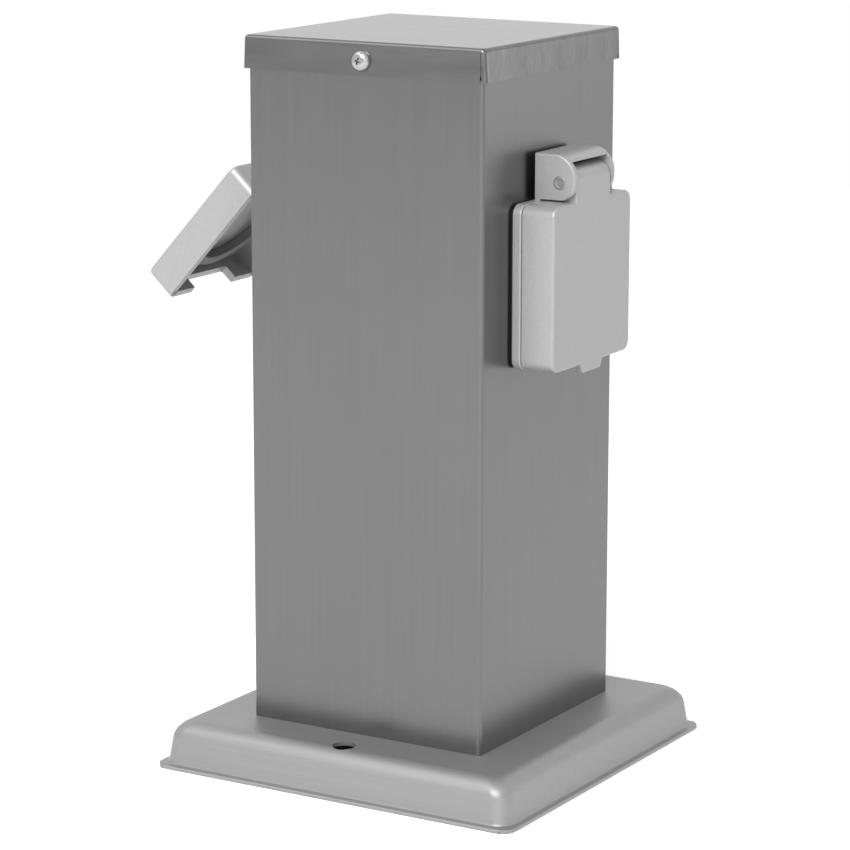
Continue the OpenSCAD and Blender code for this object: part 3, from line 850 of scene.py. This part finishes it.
@dataclass(frozen=True)
class Studio:
    """The photograph's camera, a pale floor and soft lamps.

    Attributes:
        lens: the camera's focal length, with the sensor's width after it.
        distance: from the camera to its aim, in the post's millimetres like the aim itself.
        azimuth: how far round to the right the camera stands, in degrees.
        aim_aside: how far the camera aims beside the column's axis.
        lamp_aim: the point that the lamps face, in metres.
        floor_lift: how much light of its own the floor shows.
        covered: from where to where that light rises outwards, in metres from the middle.
        ambient: how strongly the white surroundings light the post.
    """

    lens: float = 142.37
    sensor: float = 36.0
    distance: float = 1285.5
    azimuth: float = 30.965
    elevation: float = 12.143
    roll: float = 0.075
    aim_aside: float = -3.281
    aim_height: float = 128.139
    lamp_aim: Point = (0.0, 0.0, 0.13)
    floor_size: float = 3.0
    floor_lift: float = 0.55
    covered: tuple[float, float] = (0.068, 0.08)
    ambient: float = 0.4
    softboxes: tuple[Softbox, ...] = (
        Softbox("key softbox", (0.35, -1.95, 1.8), 1.6, 1.2, 46.0),
        Softbox("fill softbox", (1.3, -1.5, 0.66), 1.1, 1.2, 3.0),
        Softbox("top softbox", (-0.95, -0.75, 1.7), 1.0, 1.0, 4.0),
        Softbox("back softbox", (-1.15, 1.9, 0.78), 1.6, 0.7, 0.4),
        Softbox("side softbox", (1.35, 1.7, 0.22), 0.5, 0.4, 0.8),
    )

    def make(self) -> None:
        """Set up the camera, the world, the lamps and the floor."""
        self.make_camera()
        self.make_world()
        for softbox in self.softboxes:
            softbox.make(Vector(self.lamp_aim))
        self.make_floor()
        view = bpy.context.scene.view_settings
        view.view_transform = "Standard"

    def make_camera(self) -> None:
        """Stand the camera where the photograph was taken from."""
        across, up = math.radians(self.azimuth), math.radians(self.elevation)
        aside = self.aim_aside
        aim = Vector((aside * math.cos(across), aside * math.sin(across), self.aim_height)) * MM
        back = Vector((math.sin(across) * math.cos(up), -math.cos(across) * math.cos(up), math.sin(up)))
        data = bpy.data.cameras.new("camera")
        data.lens = self.lens
        data.sensor_width = self.sensor
        camera = bpy.data.objects.new("camera", data)
        bpy.context.scene.collection.objects.link(camera)
        camera.location = aim + back * self.distance * MM
        camera.rotation_mode = "QUATERNION"
        roll = Matrix.Rotation(math.radians(self.roll), 4, "Z").to_quaternion()
        camera.rotation_quaternion = (-back).to_track_quat("-Z", "Y") @ roll
        bpy.context.scene.camera = camera

    def make_world(self) -> None:
        """Make a world that looks white but lights the post softly."""
        world = bpy.data.worlds.new("studio")
        world.use_nodes = True
        bpy.context.scene.world = world
        tree = world.node_tree
        background = tree.nodes["Background"]
        background.inputs["Color"].default_value = WHITE
        strength = tree.nodes.new("ShaderNodeMapRange")
        strength.inputs["To Min"].default_value = self.ambient
        strength.inputs["To Max"].default_value = 1.0
        tree.links.new(seen_rays(tree), strength.inputs["Value"])
        tree.links.new(strength.outputs["Result"], background.inputs["Strength"])

    def make_floor(self) -> None:
        """Lay a pale floor under the post."""
        deselect_everything()
        bpy.ops.mesh.primitive_plane_add(size=self.floor_size, location=(0.0, 0.0, 0.0))
        floor = named("studio_floor")
        dressing = Dressing("pale floor", grey(0.93), 0.9, 0.0)
        dressing.surface.inputs["Specular IOR Level"].default_value = 0.1
        dressing.surface.inputs["Emission Color"].default_value = WHITE
        apart = dressing.node("ShaderNodeVectorMath")
        apart.operation = "ABSOLUTE"
        dressing.join(dressing.place(UNSTRETCHED), apart.inputs[0])
        axes = dressing.node("ShaderNodeSeparateXYZ")
        dressing.join(apart.outputs["Vector"], axes.inputs["Vector"])
        reach = maths(dressing.tree, "MAXIMUM", axes.outputs["X"], axes.outputs["Y"])
        hidden, clear = self.covered
        lift = self.floor_lift
        glow = dressing.node("ShaderNodeMapRange", From_Min=hidden, From_Max=clear, To_Max=lift)
        dressing.join(reach, glow.inputs["Value"])
        shown = maths(dressing.tree, "MULTIPLY", seen_rays(dressing.tree), glow.outputs["Result"])
        dressing.join(shown, dressing.surface.inputs["Emission Strength"])
        floor.data.materials.append(dressing.material)


# The post itself


def dressed_copy(
    frame: dict, node: str, finishes: Finishes, name: str, body: str, edge: float
) -> Object:
    """Copy a node of the solid model as a smooth piece with softened edges.

    Args:
        node: the node's name.
        finishes: the materials.
        name: the new piece's name.
        body: the body that it rides on.
        edge: how far its sharp edges are softened, or 0 to leave them.

    Returns:
        The new piece.
    """
    slots = {entry["node"]: entry["material_slot"] for entry in frame["record"]["subparts"]}
    mesh = frame["nodes"][node].data.copy()
    piece = bpy.data.objects.new(name, mesh)
    bpy.context.scene.collection.objects.link(piece)
    with editing(piece):
        bpy.ops.mesh.select_all(action="SELECT")
        bpy.ops.mesh.remove_doubles(threshold=0.001 * MM)
        bpy.ops.mesh.dissolve_limited(angle_limit=math.radians(0.3))
    if edge:
        pick(piece)
        soften = piece.modifiers.new("soften", "BEVEL")
        soften.width = edge * MM
        soften.segments = 2
        soften.limit_method = "ANGLE"
        soften.angle_limit = math.radians(SHARP_ANGLE)
        bpy.ops.object.modifier_apply(modifier=soften.name)
    smooth(piece, SHARP_ANGLE)
    return finished(piece, finishes.for_slot(slots[node]), Slot(slots[node]), body, node)


@dataclass
class Column:
    """The folded column, with the solid model's own shape and eased edges."""

    edge: float = 0.35

    def make(self, frame: dict, finishes: Finishes) -> None:
        """Take the column over from the solid model and dress it."""
        dressed_copy(frame, "column", finishes, "folded_column", "post", self.edge)


@dataclass
class FootPlate:
    """The pressed foot plate: a flat top, bent walls and a thin lip.

    Attributes:
        lean: how far the walls lean from upright, in degrees.
        plan_radius: the corner's radius at the edge of the flat top.
        bend_steps: how many rings stand for the bend round the flat top.
        foot_bend: the radius between the wall and the lip.
        ground_hole: a ground bolt hole's distance from the middle and its radius.
        cable_hole: the radius of the hole in the middle.
        screw_hole: a column screw hole's distance from the middle and its radius.
    """

    half: float = 78.2
    height: float = 17.7
    sheet: float = 1.5
    lip_width: float = 2.6
    lip_round: float = 0.6
    bend: float = 7.5
    lean: float = 7.5
    plan_radius: float = 5.8
    bend_steps: int = 8
    foot_bend: float = 1.2
    ground_hole: tuple[float, float] = (64.6, 4.5)
    cable_hole: float = 10.0
    screw_hole: tuple[float, float] = (39.5, 2.8)

    def rings(self) -> list[tuple[float, float]]:
        """Return the half width and height of each ring, from the flat top out to the lip.

        Returns:
            The rings.
        """
        lean = math.radians(self.lean)
        wall_top = self.height - self.bend * (1 - math.sin(lean))
        wall_foot = self.half - self.lip_width
        flat = wall_foot - self.bend * math.cos(lean) - (wall_top - self.sheet) * math.tan(lean)
        rings = []
        for step in range(self.bend_steps + 1):
            angle = math.radians((90 - self.lean) * step / self.bend_steps)
            drop = self.bend * (1 - math.cos(angle))
            rings.append((flat + self.bend * math.sin(angle), self.height - drop))
        rings.append((wall_foot - self.foot_bend * math.tan(lean), self.sheet + self.foot_bend))
        # One ring lies within the bend between wall and lip, at these shares of its radius
        outwards, up = 0.25, 0.3
        rings.append((wall_foot + self.foot_bend * outwards, self.sheet + self.foot_bend * up))
        rings.append((wall_foot + self.foot_bend, self.sheet))
        rings.append((self.half, self.sheet))
        return rings

    def press(self) -> Object:
        """Press the plate's outside: ring after ring is extruded outwards from the flat top.

        Returns:
            The plate, still without its thickness.
        """
        rings = self.rings()
        deselect_everything()
        half, height = rings[0]
        bpy.ops.mesh.primitive_plane_add(size=2 * half * MM, location=(0.0, 0.0, height * MM))
        plate = named("foot_plate_pressing")
        with editing(plate):
            bpy.ops.mesh.select_mode(type="VERT")
            bpy.ops.mesh.select_all(action="SELECT")
            radius = self.plan_radius * MM
            bpy.ops.mesh.bevel(
                offset=radius, offset_type="OFFSET", segments=10, profile=0.5, affect="VERTICES"
            )
            bpy.ops.mesh.select_mode(type="EDGE")
            bpy.ops.mesh.select_all(action="SELECT")
            for wider, lower in rings[1:]:
                bpy.ops.mesh.extrude_edges_move()
                grow = wider / half
                bpy.ops.transform.resize(value=(grow, grow, 1.0), center_override=(0.0, 0.0, 0.0))
                bpy.ops.transform.translate(value=(0.0, 0.0, (lower - height) * MM))
                half, height = wider, lower
        with editing(plate):
            bpy.ops.mesh.select_all(action="SELECT")
            bpy.ops.mesh.normals_make_consistent(inside=False)
        if plate.data.polygons[0].normal.z < 0:
            with editing(plate):
                bpy.ops.mesh.select_all(action="SELECT")
                bpy.ops.mesh.flip_normals()
        return plate

    def thicken(self, plate: Object) -> None:
        """Give the plate its thickness, inwards, and round the edge of its lip.

        Args:
            plate: the pressed plate.
        """
        pick(plate)
        wall = plate.modifiers.new("wall", "SOLIDIFY")
        wall.thickness = self.sheet * MM
        wall.offset = -1.0
        wall.use_even_offset = True
        bpy.ops.object.modifier_apply(modifier=wall.name)
        rim, level = self.half - 0.4, 0.1
        round_edges(
            plate, self.lip_round, 4,
            lambda a, b: min(from_axis(a), from_axis(b)) > rim and abs(a.z - b.z) < level,
        )

    def drill(self, plate: Object) -> None:
        """Cut the holes for the ground bolts, the cable and the column's screws.

        Args:
            plate: the thick plate.
        """
        top, low = self.height + 5.0, self.height - 9.0
        aside, bolt = self.ground_hole
        apart, screw = self.screw_hole
        holes = [(0.0, -aside, bolt, 48), (0.0, aside, bolt, 48), (0.0, 0.0, self.cable_hole, 48)]
        holes += [(x * apart, y * apart, screw, 24) for x, y in ((1, 0), (-1, 0), (0, 1), (0, -1))]
        for x, y, radius, sides in holes:
            cut(plate, rod("hole", (x, y, low), (x, y, top), radius, sides))

    def make(self, finishes: Finishes) -> None:
        """Build the plate and dress it.

        Args:
            finishes: the materials.
        """
        plate = self.press()
        self.thicken(plate)
        self.drill(plate)
        finished(smooth(plate), finishes.pressed, Slot.SHEET, "post", "base_plate")


@dataclass
class Cap:
    """The folded cap: a flat top, rounded bends, and a seam that opens at the foot of each corner.

    Attributes:
        height: how far the skirts reach down from the top.
        notch: width and height of the wedge that a corner's seam opens to.
        sprung: places along a skirt, and how far its foot stands out there.
    """

    half: float = 51.3
    top: float = 278.9
    height: float = 12.3
    sheet: float = 1.0
    bend: float = 1.6
    seam: float = 0.14
    notch: tuple[float, float] = (1.2, 3.0)
    sprung: tuple[tuple[float, float], ...] = ((-48.0, 0.7), (-38.0, 0.5), (-24.0, 0.25), (-8.0, 0.08))
    screw_hole: float = 2.2
    screw_z: float = 271.9

    def fold(self) -> Object:
        """Fold the cap: a block is rounded, hollowed from below and slit at its corners.

        Returns:
            The cap.
        """
        foot = self.top - self.height
        cap = block("folded_cap", (-self.half, -self.half, foot), (self.half, self.half, self.top))
        round_edges(cap, self.bend, 8, lambda a, b: max(a.z, b.z) > self.top - CLOSE)
        up = (0.0, 0.0, self.height - self.sheet)
        hollow(cap, self.sheet, up, lambda face: face.normal.z < -FACING)
        quarter_turn = Matrix.Rotation(math.radians(90), 4, "Z")
        for _ in range(4):
            self.spring_skirt(cap, foot)
            cut(cap, *self.corner_seam(foot))
            moved(cap, quarter_turn)
        reach = self.half + 2.0
        ends = (0.0, -reach, self.screw_z), (0.0, reach, self.screw_z)
        return cut(cap, rod("screw_hole", *ends, self.screw_hole, 32))

    def spring_skirt(self, cap: Object, foot: float) -> None:
        """Let the foot of the right-hand skirt stand out a little towards its front end.

        Args:
            cap: the cap under construction.
            foot: the height of the skirts' lower edge.
        """
        for at, _ in self.sprung:
            with editing(cap):
                bpy.ops.mesh.select_all(action="SELECT")
                bpy.ops.mesh.bisect(plane_co=(0.0, at * MM, 0.0), plane_no=(0.0, 1.0, 0.0))
        slack = 0.05
        inside, last = self.half - self.bend + slack, self.sprung[0][0]
        for at, out in self.sprung:
            with editing(cap) as mesh:
                bpy.ops.mesh.select_mode(type="VERT")
                for corner in mesh.verts:
                    x, y, z = corner.co / MM
                    level = abs(y - at) < slack or (at == last and y < at)
                    corner.select_set(level and x > inside and z < foot + CLOSE)
                bpy.ops.transform.translate(value=(out * MM, 0.0, 0.0))

    def corner_seam(self, foot: float) -> tuple[Object, Object]:
        """Make the slit at the right-hand end of the front skirt and the wedge that opens its foot.

        Args:
            foot: the height of the skirts' lower edge.

        Returns:
            The slit and the wedge.
        """
        at = self.half - self.bend
        back, front = -self.half + self.sheet + 0.1, -self.half - OVER
        slit = block("slit", (at - self.seam, front, foot - OVER), (at, back, self.top - self.bend))
        width, rise = self.notch
        wedge = block("wedge", (at - width / 2, front, foot - 0.5), (at + width / 2, back, foot + rise))
        with editing(wedge) as mesh:
            select_edges(mesh, lambda a, b: min(a.z, b.z) > foot + rise - CLOSE)
            bpy.ops.transform.resize(value=(0.1, 1.0, 1.0), center_override=(at * MM, 0.0, 0.0))
        return slit, wedge

    def make(self, finishes: Finishes) -> None:
        """Build the cap and dress it."""
        finished(smooth(self.fold()), finishes.cap, Slot.SHEET, "post", "top_cap")


@dataclass
class CapScrews:
    """The pan-head screws through the cap's front and back skirts, with cross recesses.

    Attributes:
        seat: how far out the heads' undersides are.
        head: a head's radius and height.
        crown: the rounding of a head's edge.
        shank: a shank's radius, and how far in it reaches.
        recess: width, length and depth of one bar of the cross.
        recess_end: how much of its width and length a bar keeps at its floor.
        turn: how far the cross is turned, in degrees.
    """

    seat: float = 51.3
    height: float = 271.9
    head: tuple[float, float] = (4.0, 2.7)
    crown: float = 2.65
    shank: tuple[float, float] = (1.95, 5.5)
    recess: tuple[float, float, float] = (0.75, 4.0, 1.1)
    recess_end: tuple[float, float] = (0.6, 0.35)
    turn: float = -18.0

    def make_screw(self, name: str) -> Object:
        """Make the front screw at its place.

        Args:
            name: the new object's name.

        Returns:
            The screw.
        """
        radius, high = self.head
        at = self.height
        screw = rod(name, (0.0, -self.seat, at), (0.0, -self.seat - high, at), radius, 48)
        round_edges(screw, self.crown, 8, lambda a, b: max(a.y, b.y) < -self.seat - high + CLOSE)
        width, length, depth = self.recess
        narrow, short = self.recess_end
        for turn in (self.turn, self.turn + 90.0):
            bar = block("bar", (-width / 2, -depth, -length / 2), (width / 2, OVER, length / 2))
            with editing(bar) as mesh:
                select_edges(mesh, lambda a, b: max(a.y, b.y) < -depth + CLOSE)
                floor = (0.0, -depth * MM, 0.0)
                bpy.ops.transform.resize(value=(narrow, 1.0, short), center_override=floor)
            spin = Matrix.Rotation(math.pi, 4, "Z") @ Matrix.Rotation(math.radians(turn), 4, "Y")
            face = Matrix.Translation((0.0, (-self.seat - high) * MM, at * MM))
            cut(screw, moved(bar, face @ spin))
        thread, reach = self.shank
        ends = (0.0, -self.seat - 0.5, at), (0.0, -self.seat + reach, at)
        return add(screw, rod("shank", *ends, thread, 32))

    def make(self, finishes: Finishes) -> None:
        """Build both screws as one piece and dress it.

        Args:
            finishes: the materials.
        """
        front = smooth(self.make_screw("cap_screw_pair"))
        back = moved(twin(front, "back_screw"), Matrix.Rotation(math.pi, 4, "Z"))
        pick(front)
        back.select_set(True)
        bpy.ops.object.join()
        finished(front, finishes.screw, Slot.SCREWS, "post", "cap_screws")


@dataclass
class SocketSizes:
    """Sizes of one socket, drawn for the right-hand side.

    Attributes:
        middle: how high the socket's middle is.
        flange: how far out the flange's back and face are.
        lid: how far out the lid's rim and front are.
        notch: half the width of the notch in the lid's lower wall, and how far it goes in from the rim.
        tab: half the tab's width at its root and at its tip, and how far it hangs down.
        hinge: the hinge axis, as its distance outwards and upwards.
        strap_half: half the width of the lid's strap.
        ear: half the distance between the ears and over them.
        hood_back: how far out the hood's back and the back of its slot are.
        bridge: the thickness of the bridge over the hinge.
        ear_low: the ears' reach outwards and down from the hinge, where they are rounded.
        ear_high: the rounding of the ears' upper front.
        collar: the collar's inner and outer radius, and how far out it reaches.
        fixing: a fixing hole's distance across and up from the middle, and its radius.
        ring: how far outside the seal the ring round it starts and ends, and how tall it is.
        play: how much wider than the pin its holes in the lid and in the frame are.
        pin_over: how far the pin stands out of each ear.
        dimple: the pin's land round a dimple, the dimple's slope and its depth.
        strap_end: how far the strap's arm reaches into the lid.
        rim_round: the rounding of the lid's rim. The other fields in round are roundings too.
        short: how much the knuckle's rounding and the ears' lower and upper one fall short of the
            full one, so that no face vanishes.
    """

    middle: float = 190.2
    half_width: float = 29.7
    half_height: float = 30.5
    corner: float = 4.0
    flange: tuple[float, float] = (51.0, 54.4)
    lid: tuple[float, float] = (54.7, 68.2)
    lid_wall: float = 3.2
    lid_edge: float = 1.2
    notch: tuple[float, float] = (14.0, 6.0)
    tab: tuple[float, float, float] = (9.25, 6.9, 3.1)
    tab_thickness: float = 2.6
    hinge: tuple[float, float] = (62.4, 37.5)
    pin_radius: float = 2.5
    knuckle: float = 5.8
    strap_half: float = 13.0
    ear: tuple[float, float] = (13.3, 15.6)
    hood_back: tuple[float, float] = (52.2, 54.4)
    hood_top: float = 48.0
    bridge: float = 2.8
    ear_low: float = 6.3
    ear_high: float = 9.0
    collar: tuple[float, float, float] = (21.65, 23.9, 61.0)
    fixing: tuple[float, float, float] = (22.6, 22.4, 1.95)
    seal_radius: float = 23.9
    ring: tuple[float, float, float] = (0.3, 1.6, 2.0)
    play: tuple[float, float] = (0.05, 0.03)
    pin_over: float = 0.2
    dimple: tuple[float, float, float] = (0.55, 0.25, 0.3)
    strap_end: float = 2.2
    rim_round: float = 0.35
    notch_round: float = 1.0
    tab_round: float = 0.5
    strap_round: float = 0.6
    pin_round: float = 0.3
    flange_round: float = 0.7
    collar_round: float = 0.5
    hood_round: float = 0.75
    short: tuple[float, float, float] = (0.03, 0.2, 0.05)


@dataclass
class Socket:
    """One socket: its moulded frame, its lid and pin, and the pieces in its recess.

    Attributes:
        side: the side of the column that it is on.
        lid_angle: how far its lid stands open, in degrees.
        sizes: its sizes.
        softened: pieces that keep the solid model's shape, and how far their edges are softened.
        seal_edge: the same for the lid's seal.
    """

    side: Side
    lid_angle: float
    sizes: SocketSizes = field(default_factory=SocketSizes)
    softened: tuple[tuple[str, float], ...] = (("gasket", 0.2), ("insert", 0.0), ("frame_screws", 0.2))
    seal_edge: float = 0.5

    def placing(self, open_by: float = 0.0) -> Matrix:
        """Return the placing from the drawing of a right-hand socket to this one.

        Args:
            open_by: how far the piece is swung open about the hinge, in degrees.

        Returns:
            The placing, in metres.
        """
        s = self.sizes
        hinge = Vector((s.hinge[0], 0.0, s.hinge[1])) * MM
        swing = (
            Matrix.Translation(hinge)
            @ Matrix.Rotation(math.radians(-open_by), 4, "Y")
            @ Matrix.Translation(-hinge)
        )
        lift = Matrix.Translation((0.0, 0.0, s.middle * MM))
        return lift @ Matrix.Rotation(self.side.value, 4, "Z") @ swing

    def plaque(self, name: str, back: float, front: float, edge: float) -> Object:
        """Make a slab with rounded corners and a softened front, such as the flange or the lid's body.

        Args:
            name: the new object's name.
            back: how far out its back is.
            front: how far out its front is.
            edge: the rounding of the front's edges.

        Returns:
            The slab.
        """
        s = self.sizes
        wide, high = s.half_width, s.half_height
        slab = block(name, (back, -wide, -high), (front, wide, high))
        round_edges(slab, s.corner, 10, lambda a, b: abs(a.x - b.x) > 0.5)
        round_edges(slab, edge, 4, lambda a, b: min(a.x, b.x) > front - CLOSE)
        return slab

    def make_lid(self) -> Object:
        """Mould the lid: a shallow box with a strap that wraps the hinge pin, a tab and a notch.

        Returns:
            The lid, shut.
        """
        s = self.sizes
        rim, front = s.lid
        lid = self.plaque(f"{self.side.word}_lid_moulding", rim, front, s.lid_edge)
        inwards = (front - rim - s.lid_wall, 0.0, 0.0)
        hollow(lid, s.lid_wall, inwards, lambda face: face.normal.x < -FACING)
        round_edges(lid, s.rim_round, 2, lambda a, b: max(a.x, b.x) < rim + CLOSE)
        cut(lid, self.make_notch())
        floor = front - s.lid_wall
        start, end, tall = s.ring
        ends = (floor - tall, 0.0, 0.0), (floor + 0.5, 0.0, 0.0)
        add(lid, tube("seal_ring", *ends, s.seal_radius + end, s.seal_radius + start))
        add(lid, self.make_tab())
        add(lid, self.make_strap())
        cut(lid, self.hinge_rod("knuckle_bore", s.pin_radius + s.play[0], s.strap_half + OVER))
        return smooth(lid)

    def make_notch(self) -> Object:
        """Make the shape that is cut out of the lid's lower wall.

        Returns:
            The cutting shape.
        """
        s = self.sizes
        rim, bottom = s.lid[0], -s.half_height
        wide, high = s.notch
        far = (rim + high, wide, bottom + s.lid_wall + OVER)
        notch = block("notch", (rim - OVER, -wide, bottom - OVER), far)
        inside = rim + high - CLOSE
        round_edges(
            notch, s.notch_round, 4,
            lambda a, b: min(a.x, b.x) > inside and abs(a.y - b.y) < CLOSE,
        )
        return notch

    def make_tab(self) -> Object:
        """Make the finger tab under the lid, narrower at its tip.

        Returns:
            The tab.
        """
        s = self.sizes
        front, bottom = s.lid[1], -s.half_height
        root, tip, drop = s.tab
        tab = block("tab", (front - s.tab_thickness, -root, bottom - drop), (front, root, bottom + 1.5))
        with editing(tab) as mesh:
            select_edges(mesh, lambda a, b: max(a.z, b.z) < bottom - 1.0)
            bpy.ops.transform.resize(value=(1.0, tip / root, 1.0))
        round_edges(tab, s.tab_round, 3, lambda a, b: min(a.z, b.z) < bottom - 1.0)
        return tab

    def hinge_rod(self, name: str, radius: float, reach: float) -> Object:
        """Make a cylinder about the hinge axis, as long each way as its reach."""
        x, z = self.sizes.hinge
        return rod(name, (x, -reach, z), (x, reach, z), radius, 64)

    def make_strap(self) -> Object:
        """Make the lid's strap: a knuckle rounded from a block, with an arm extruded into the lid.

        Returns:
            The strap.
        """
        s = self.sizes
        x, z = s.hinge
        # Just behind the lid's front, so that no two faces coincide
        front = x + s.knuckle - 0.02
        back, low, high = x - s.knuckle, z - s.knuckle, z + s.knuckle
        strap = block("strap", (back, -s.strap_half, low), (front, s.strap_half, high))
        round_edges(
            strap, s.knuckle - s.short[0], 16,
            lambda a, b: abs(a.y - b.y) > 1.0
            and (min(a.z, b.z) > high - CLOSE or max(a.x, b.x) < back + CLOSE),
        )
        with editing(strap) as mesh:
            select_faces(
                mesh, lambda face: face.normal.z < -FACING and face.calc_center_median().x > x * MM
            )
            drop = low - (s.half_height - s.strap_end)
            bpy.ops.mesh.extrude_region_move(TRANSFORM_OT_translate={"value": (0.0, 0.0, -drop * MM)})
        side = s.strap_half - CLOSE
        round_edges(
            strap, s.strap_round, 3,
            lambda a, b: min(abs(a.y), abs(b.y)) > side and a.y * b.y > 0
            and max(a.z, b.z) > s.half_height + 0.5,
        )
        return strap

    def make_pin(self) -> Object:
        """Make the hinge pin, with eased ends and a shallow dimple in each.

        Returns:
            The pin.
        """
        s = self.sizes
        end = s.ear[1] + s.pin_over
        pin = self.hinge_rod(f"{self.side.word}_pin", s.pin_radius, end)
        round_edges(pin, s.pin_round, 3, lambda a, b: a.y * b.y > 0)
        land, slope, depth = s.dimple
        for way in (-1, 1):
            with editing(pin) as mesh:
                select_faces(mesh, lambda face, way=way: face.normal.y * way > FACING)
                bpy.ops.mesh.inset(thickness=land * MM, depth=0.0)
                bpy.ops.mesh.inset(thickness=slope * MM, depth=-depth * MM)
        return smooth(pin)

    def make_frame(self) -> Object:
        """Mould the socket's frame: a flange, the hinge hood above it and the round collar.

        Returns:
            The frame.
        """
        s = self.sizes
        back, face = s.flange
        frame = self.plaque(f"{self.side.word}_frame_moulding", back, face, s.flange_round)
        add(frame, self.make_hood())
        inner, outer, reach = s.collar
        collar = rod("collar", (face - 1.0, 0.0, 0.0), (reach, 0.0, 0.0), outer, 96)
        round_edges(collar, s.collar_round, 3, lambda a, b: min(a.x, b.x) > reach - CLOSE)
        add(frame, collar)
        cut(frame, rod("bore", (back - OVER, 0.0, 0.0), (reach + OVER, 0.0, 0.0), inner, 96))
        across, up, radius = s.fixing
        for y in (-across, across):
            for z in (-up, up):
                cut(frame, rod("fixing_hole", (back - OVER, y, z), (face + OVER, y, z), radius, 24))
        cut(frame, self.hinge_rod("pin_bore", s.pin_radius + s.play[1], s.ear[1] + OVER))
        return smooth(frame)

    def make_hood(self) -> Object:
        """Make the hood: two rounded ears that hold the pin, a back and a bridge over the hinge.

        Returns:
            The hood.
        """
        s = self.sizes
        x, z = s.hinge
        nose = x + s.ear_low
        back, face = s.hood_back
        low, high = z - s.ear_low, s.hood_top
        hood = block("hood", (back, -s.ear[1], low), (nose, s.ear[1], high))
        round_edges(
            hood, s.ear_high - s.short[2], 16,
            lambda a, b: min(a.x, b.x) > nose - CLOSE and min(a.z, b.z) > high - CLOSE,
        )
        round_edges(
            hood, s.ear_low - s.short[1], 12,
            lambda a, b: min(a.x, b.x) > nose - CLOSE and max(a.z, b.z) < low + CLOSE,
        )
        with editing(hood):
            bpy.ops.mesh.select_all(action="SELECT")
            bpy.ops.mesh.remove_doubles(threshold=CLOSE * MM)
        outside = s.ear[1] - CLOSE
        round_edges(
            hood, s.hood_round, 4,
            lambda a, b: min(abs(a.y), abs(b.y)) > outside and a.y * b.y > 0
            and max(a.x, b.x) > back + CLOSE and max(a.z, b.z) > s.half_height + 1.5,
        )
        add(hood, block("foot", (back, -s.ear[1], s.half_height - s.corner), (face, s.ear[1], z)))
        between = s.ear[0]
        slot = block("slot", (face, -between, low - 2.0), (nose + 2.0, between, high - s.bridge))
        return cut(hood, slot)

    def make(self, frame: dict, finishes: Finishes) -> None:
        """Build this side's pieces and fix them to their bodies.

        Args:
            finishes: the materials.
        """
        word = self.side.word
        moulding = moved(self.make_frame(), self.placing())
        finished(moulding, finishes.silver, Slot.SILVER, "post", f"{word}_frame")
        lid = moved(self.make_lid(), self.placing(self.lid_angle))
        finished(lid, finishes.silver, Slot.SILVER, f"{word}_lid", f"{word}_lid")
        pin = moved(self.make_pin(), self.placing())
        finished(pin, finishes.pin, Slot.SCREWS, "post", f"{word}_hinge_pin")
        for node, edge in self.softened:
            dressed_copy(frame, f"{word}_{node}", finishes, f"{word}_{node}_part", "post", edge)
        seal = f"{word}_lid_seal"
        dressed_copy(frame, seal, finishes, f"{seal}_ring", f"{word}_lid", self.seal_edge)


def opening(frame: dict, side: Side) -> float:
    """Return how far a side's lid stands open at rest, in degrees, by its hinge's lower limit."""
    ranges = {joint["name"]: joint["range_deg"] for joint in frame["joints"]}
    return -ranges[f"{side.word}_lid_hinge"][0]


def main() -> None:
    """Build the whole scene."""
    logging.basicConfig(level=logging.INFO, format="%(message)s")
    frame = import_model()
    finishes = Finishes()
    dress_nodes(frame, finishes)
    Studio().make()
    FootPlate().make(finishes)
    Cap().make(finishes)
    CapScrews().make(finishes)
    Column().make(frame, finishes)
    for side in Side:
        Socket(side, opening(frame, side)).make(frame, finishes)


if __name__ == "__main__":
    main()
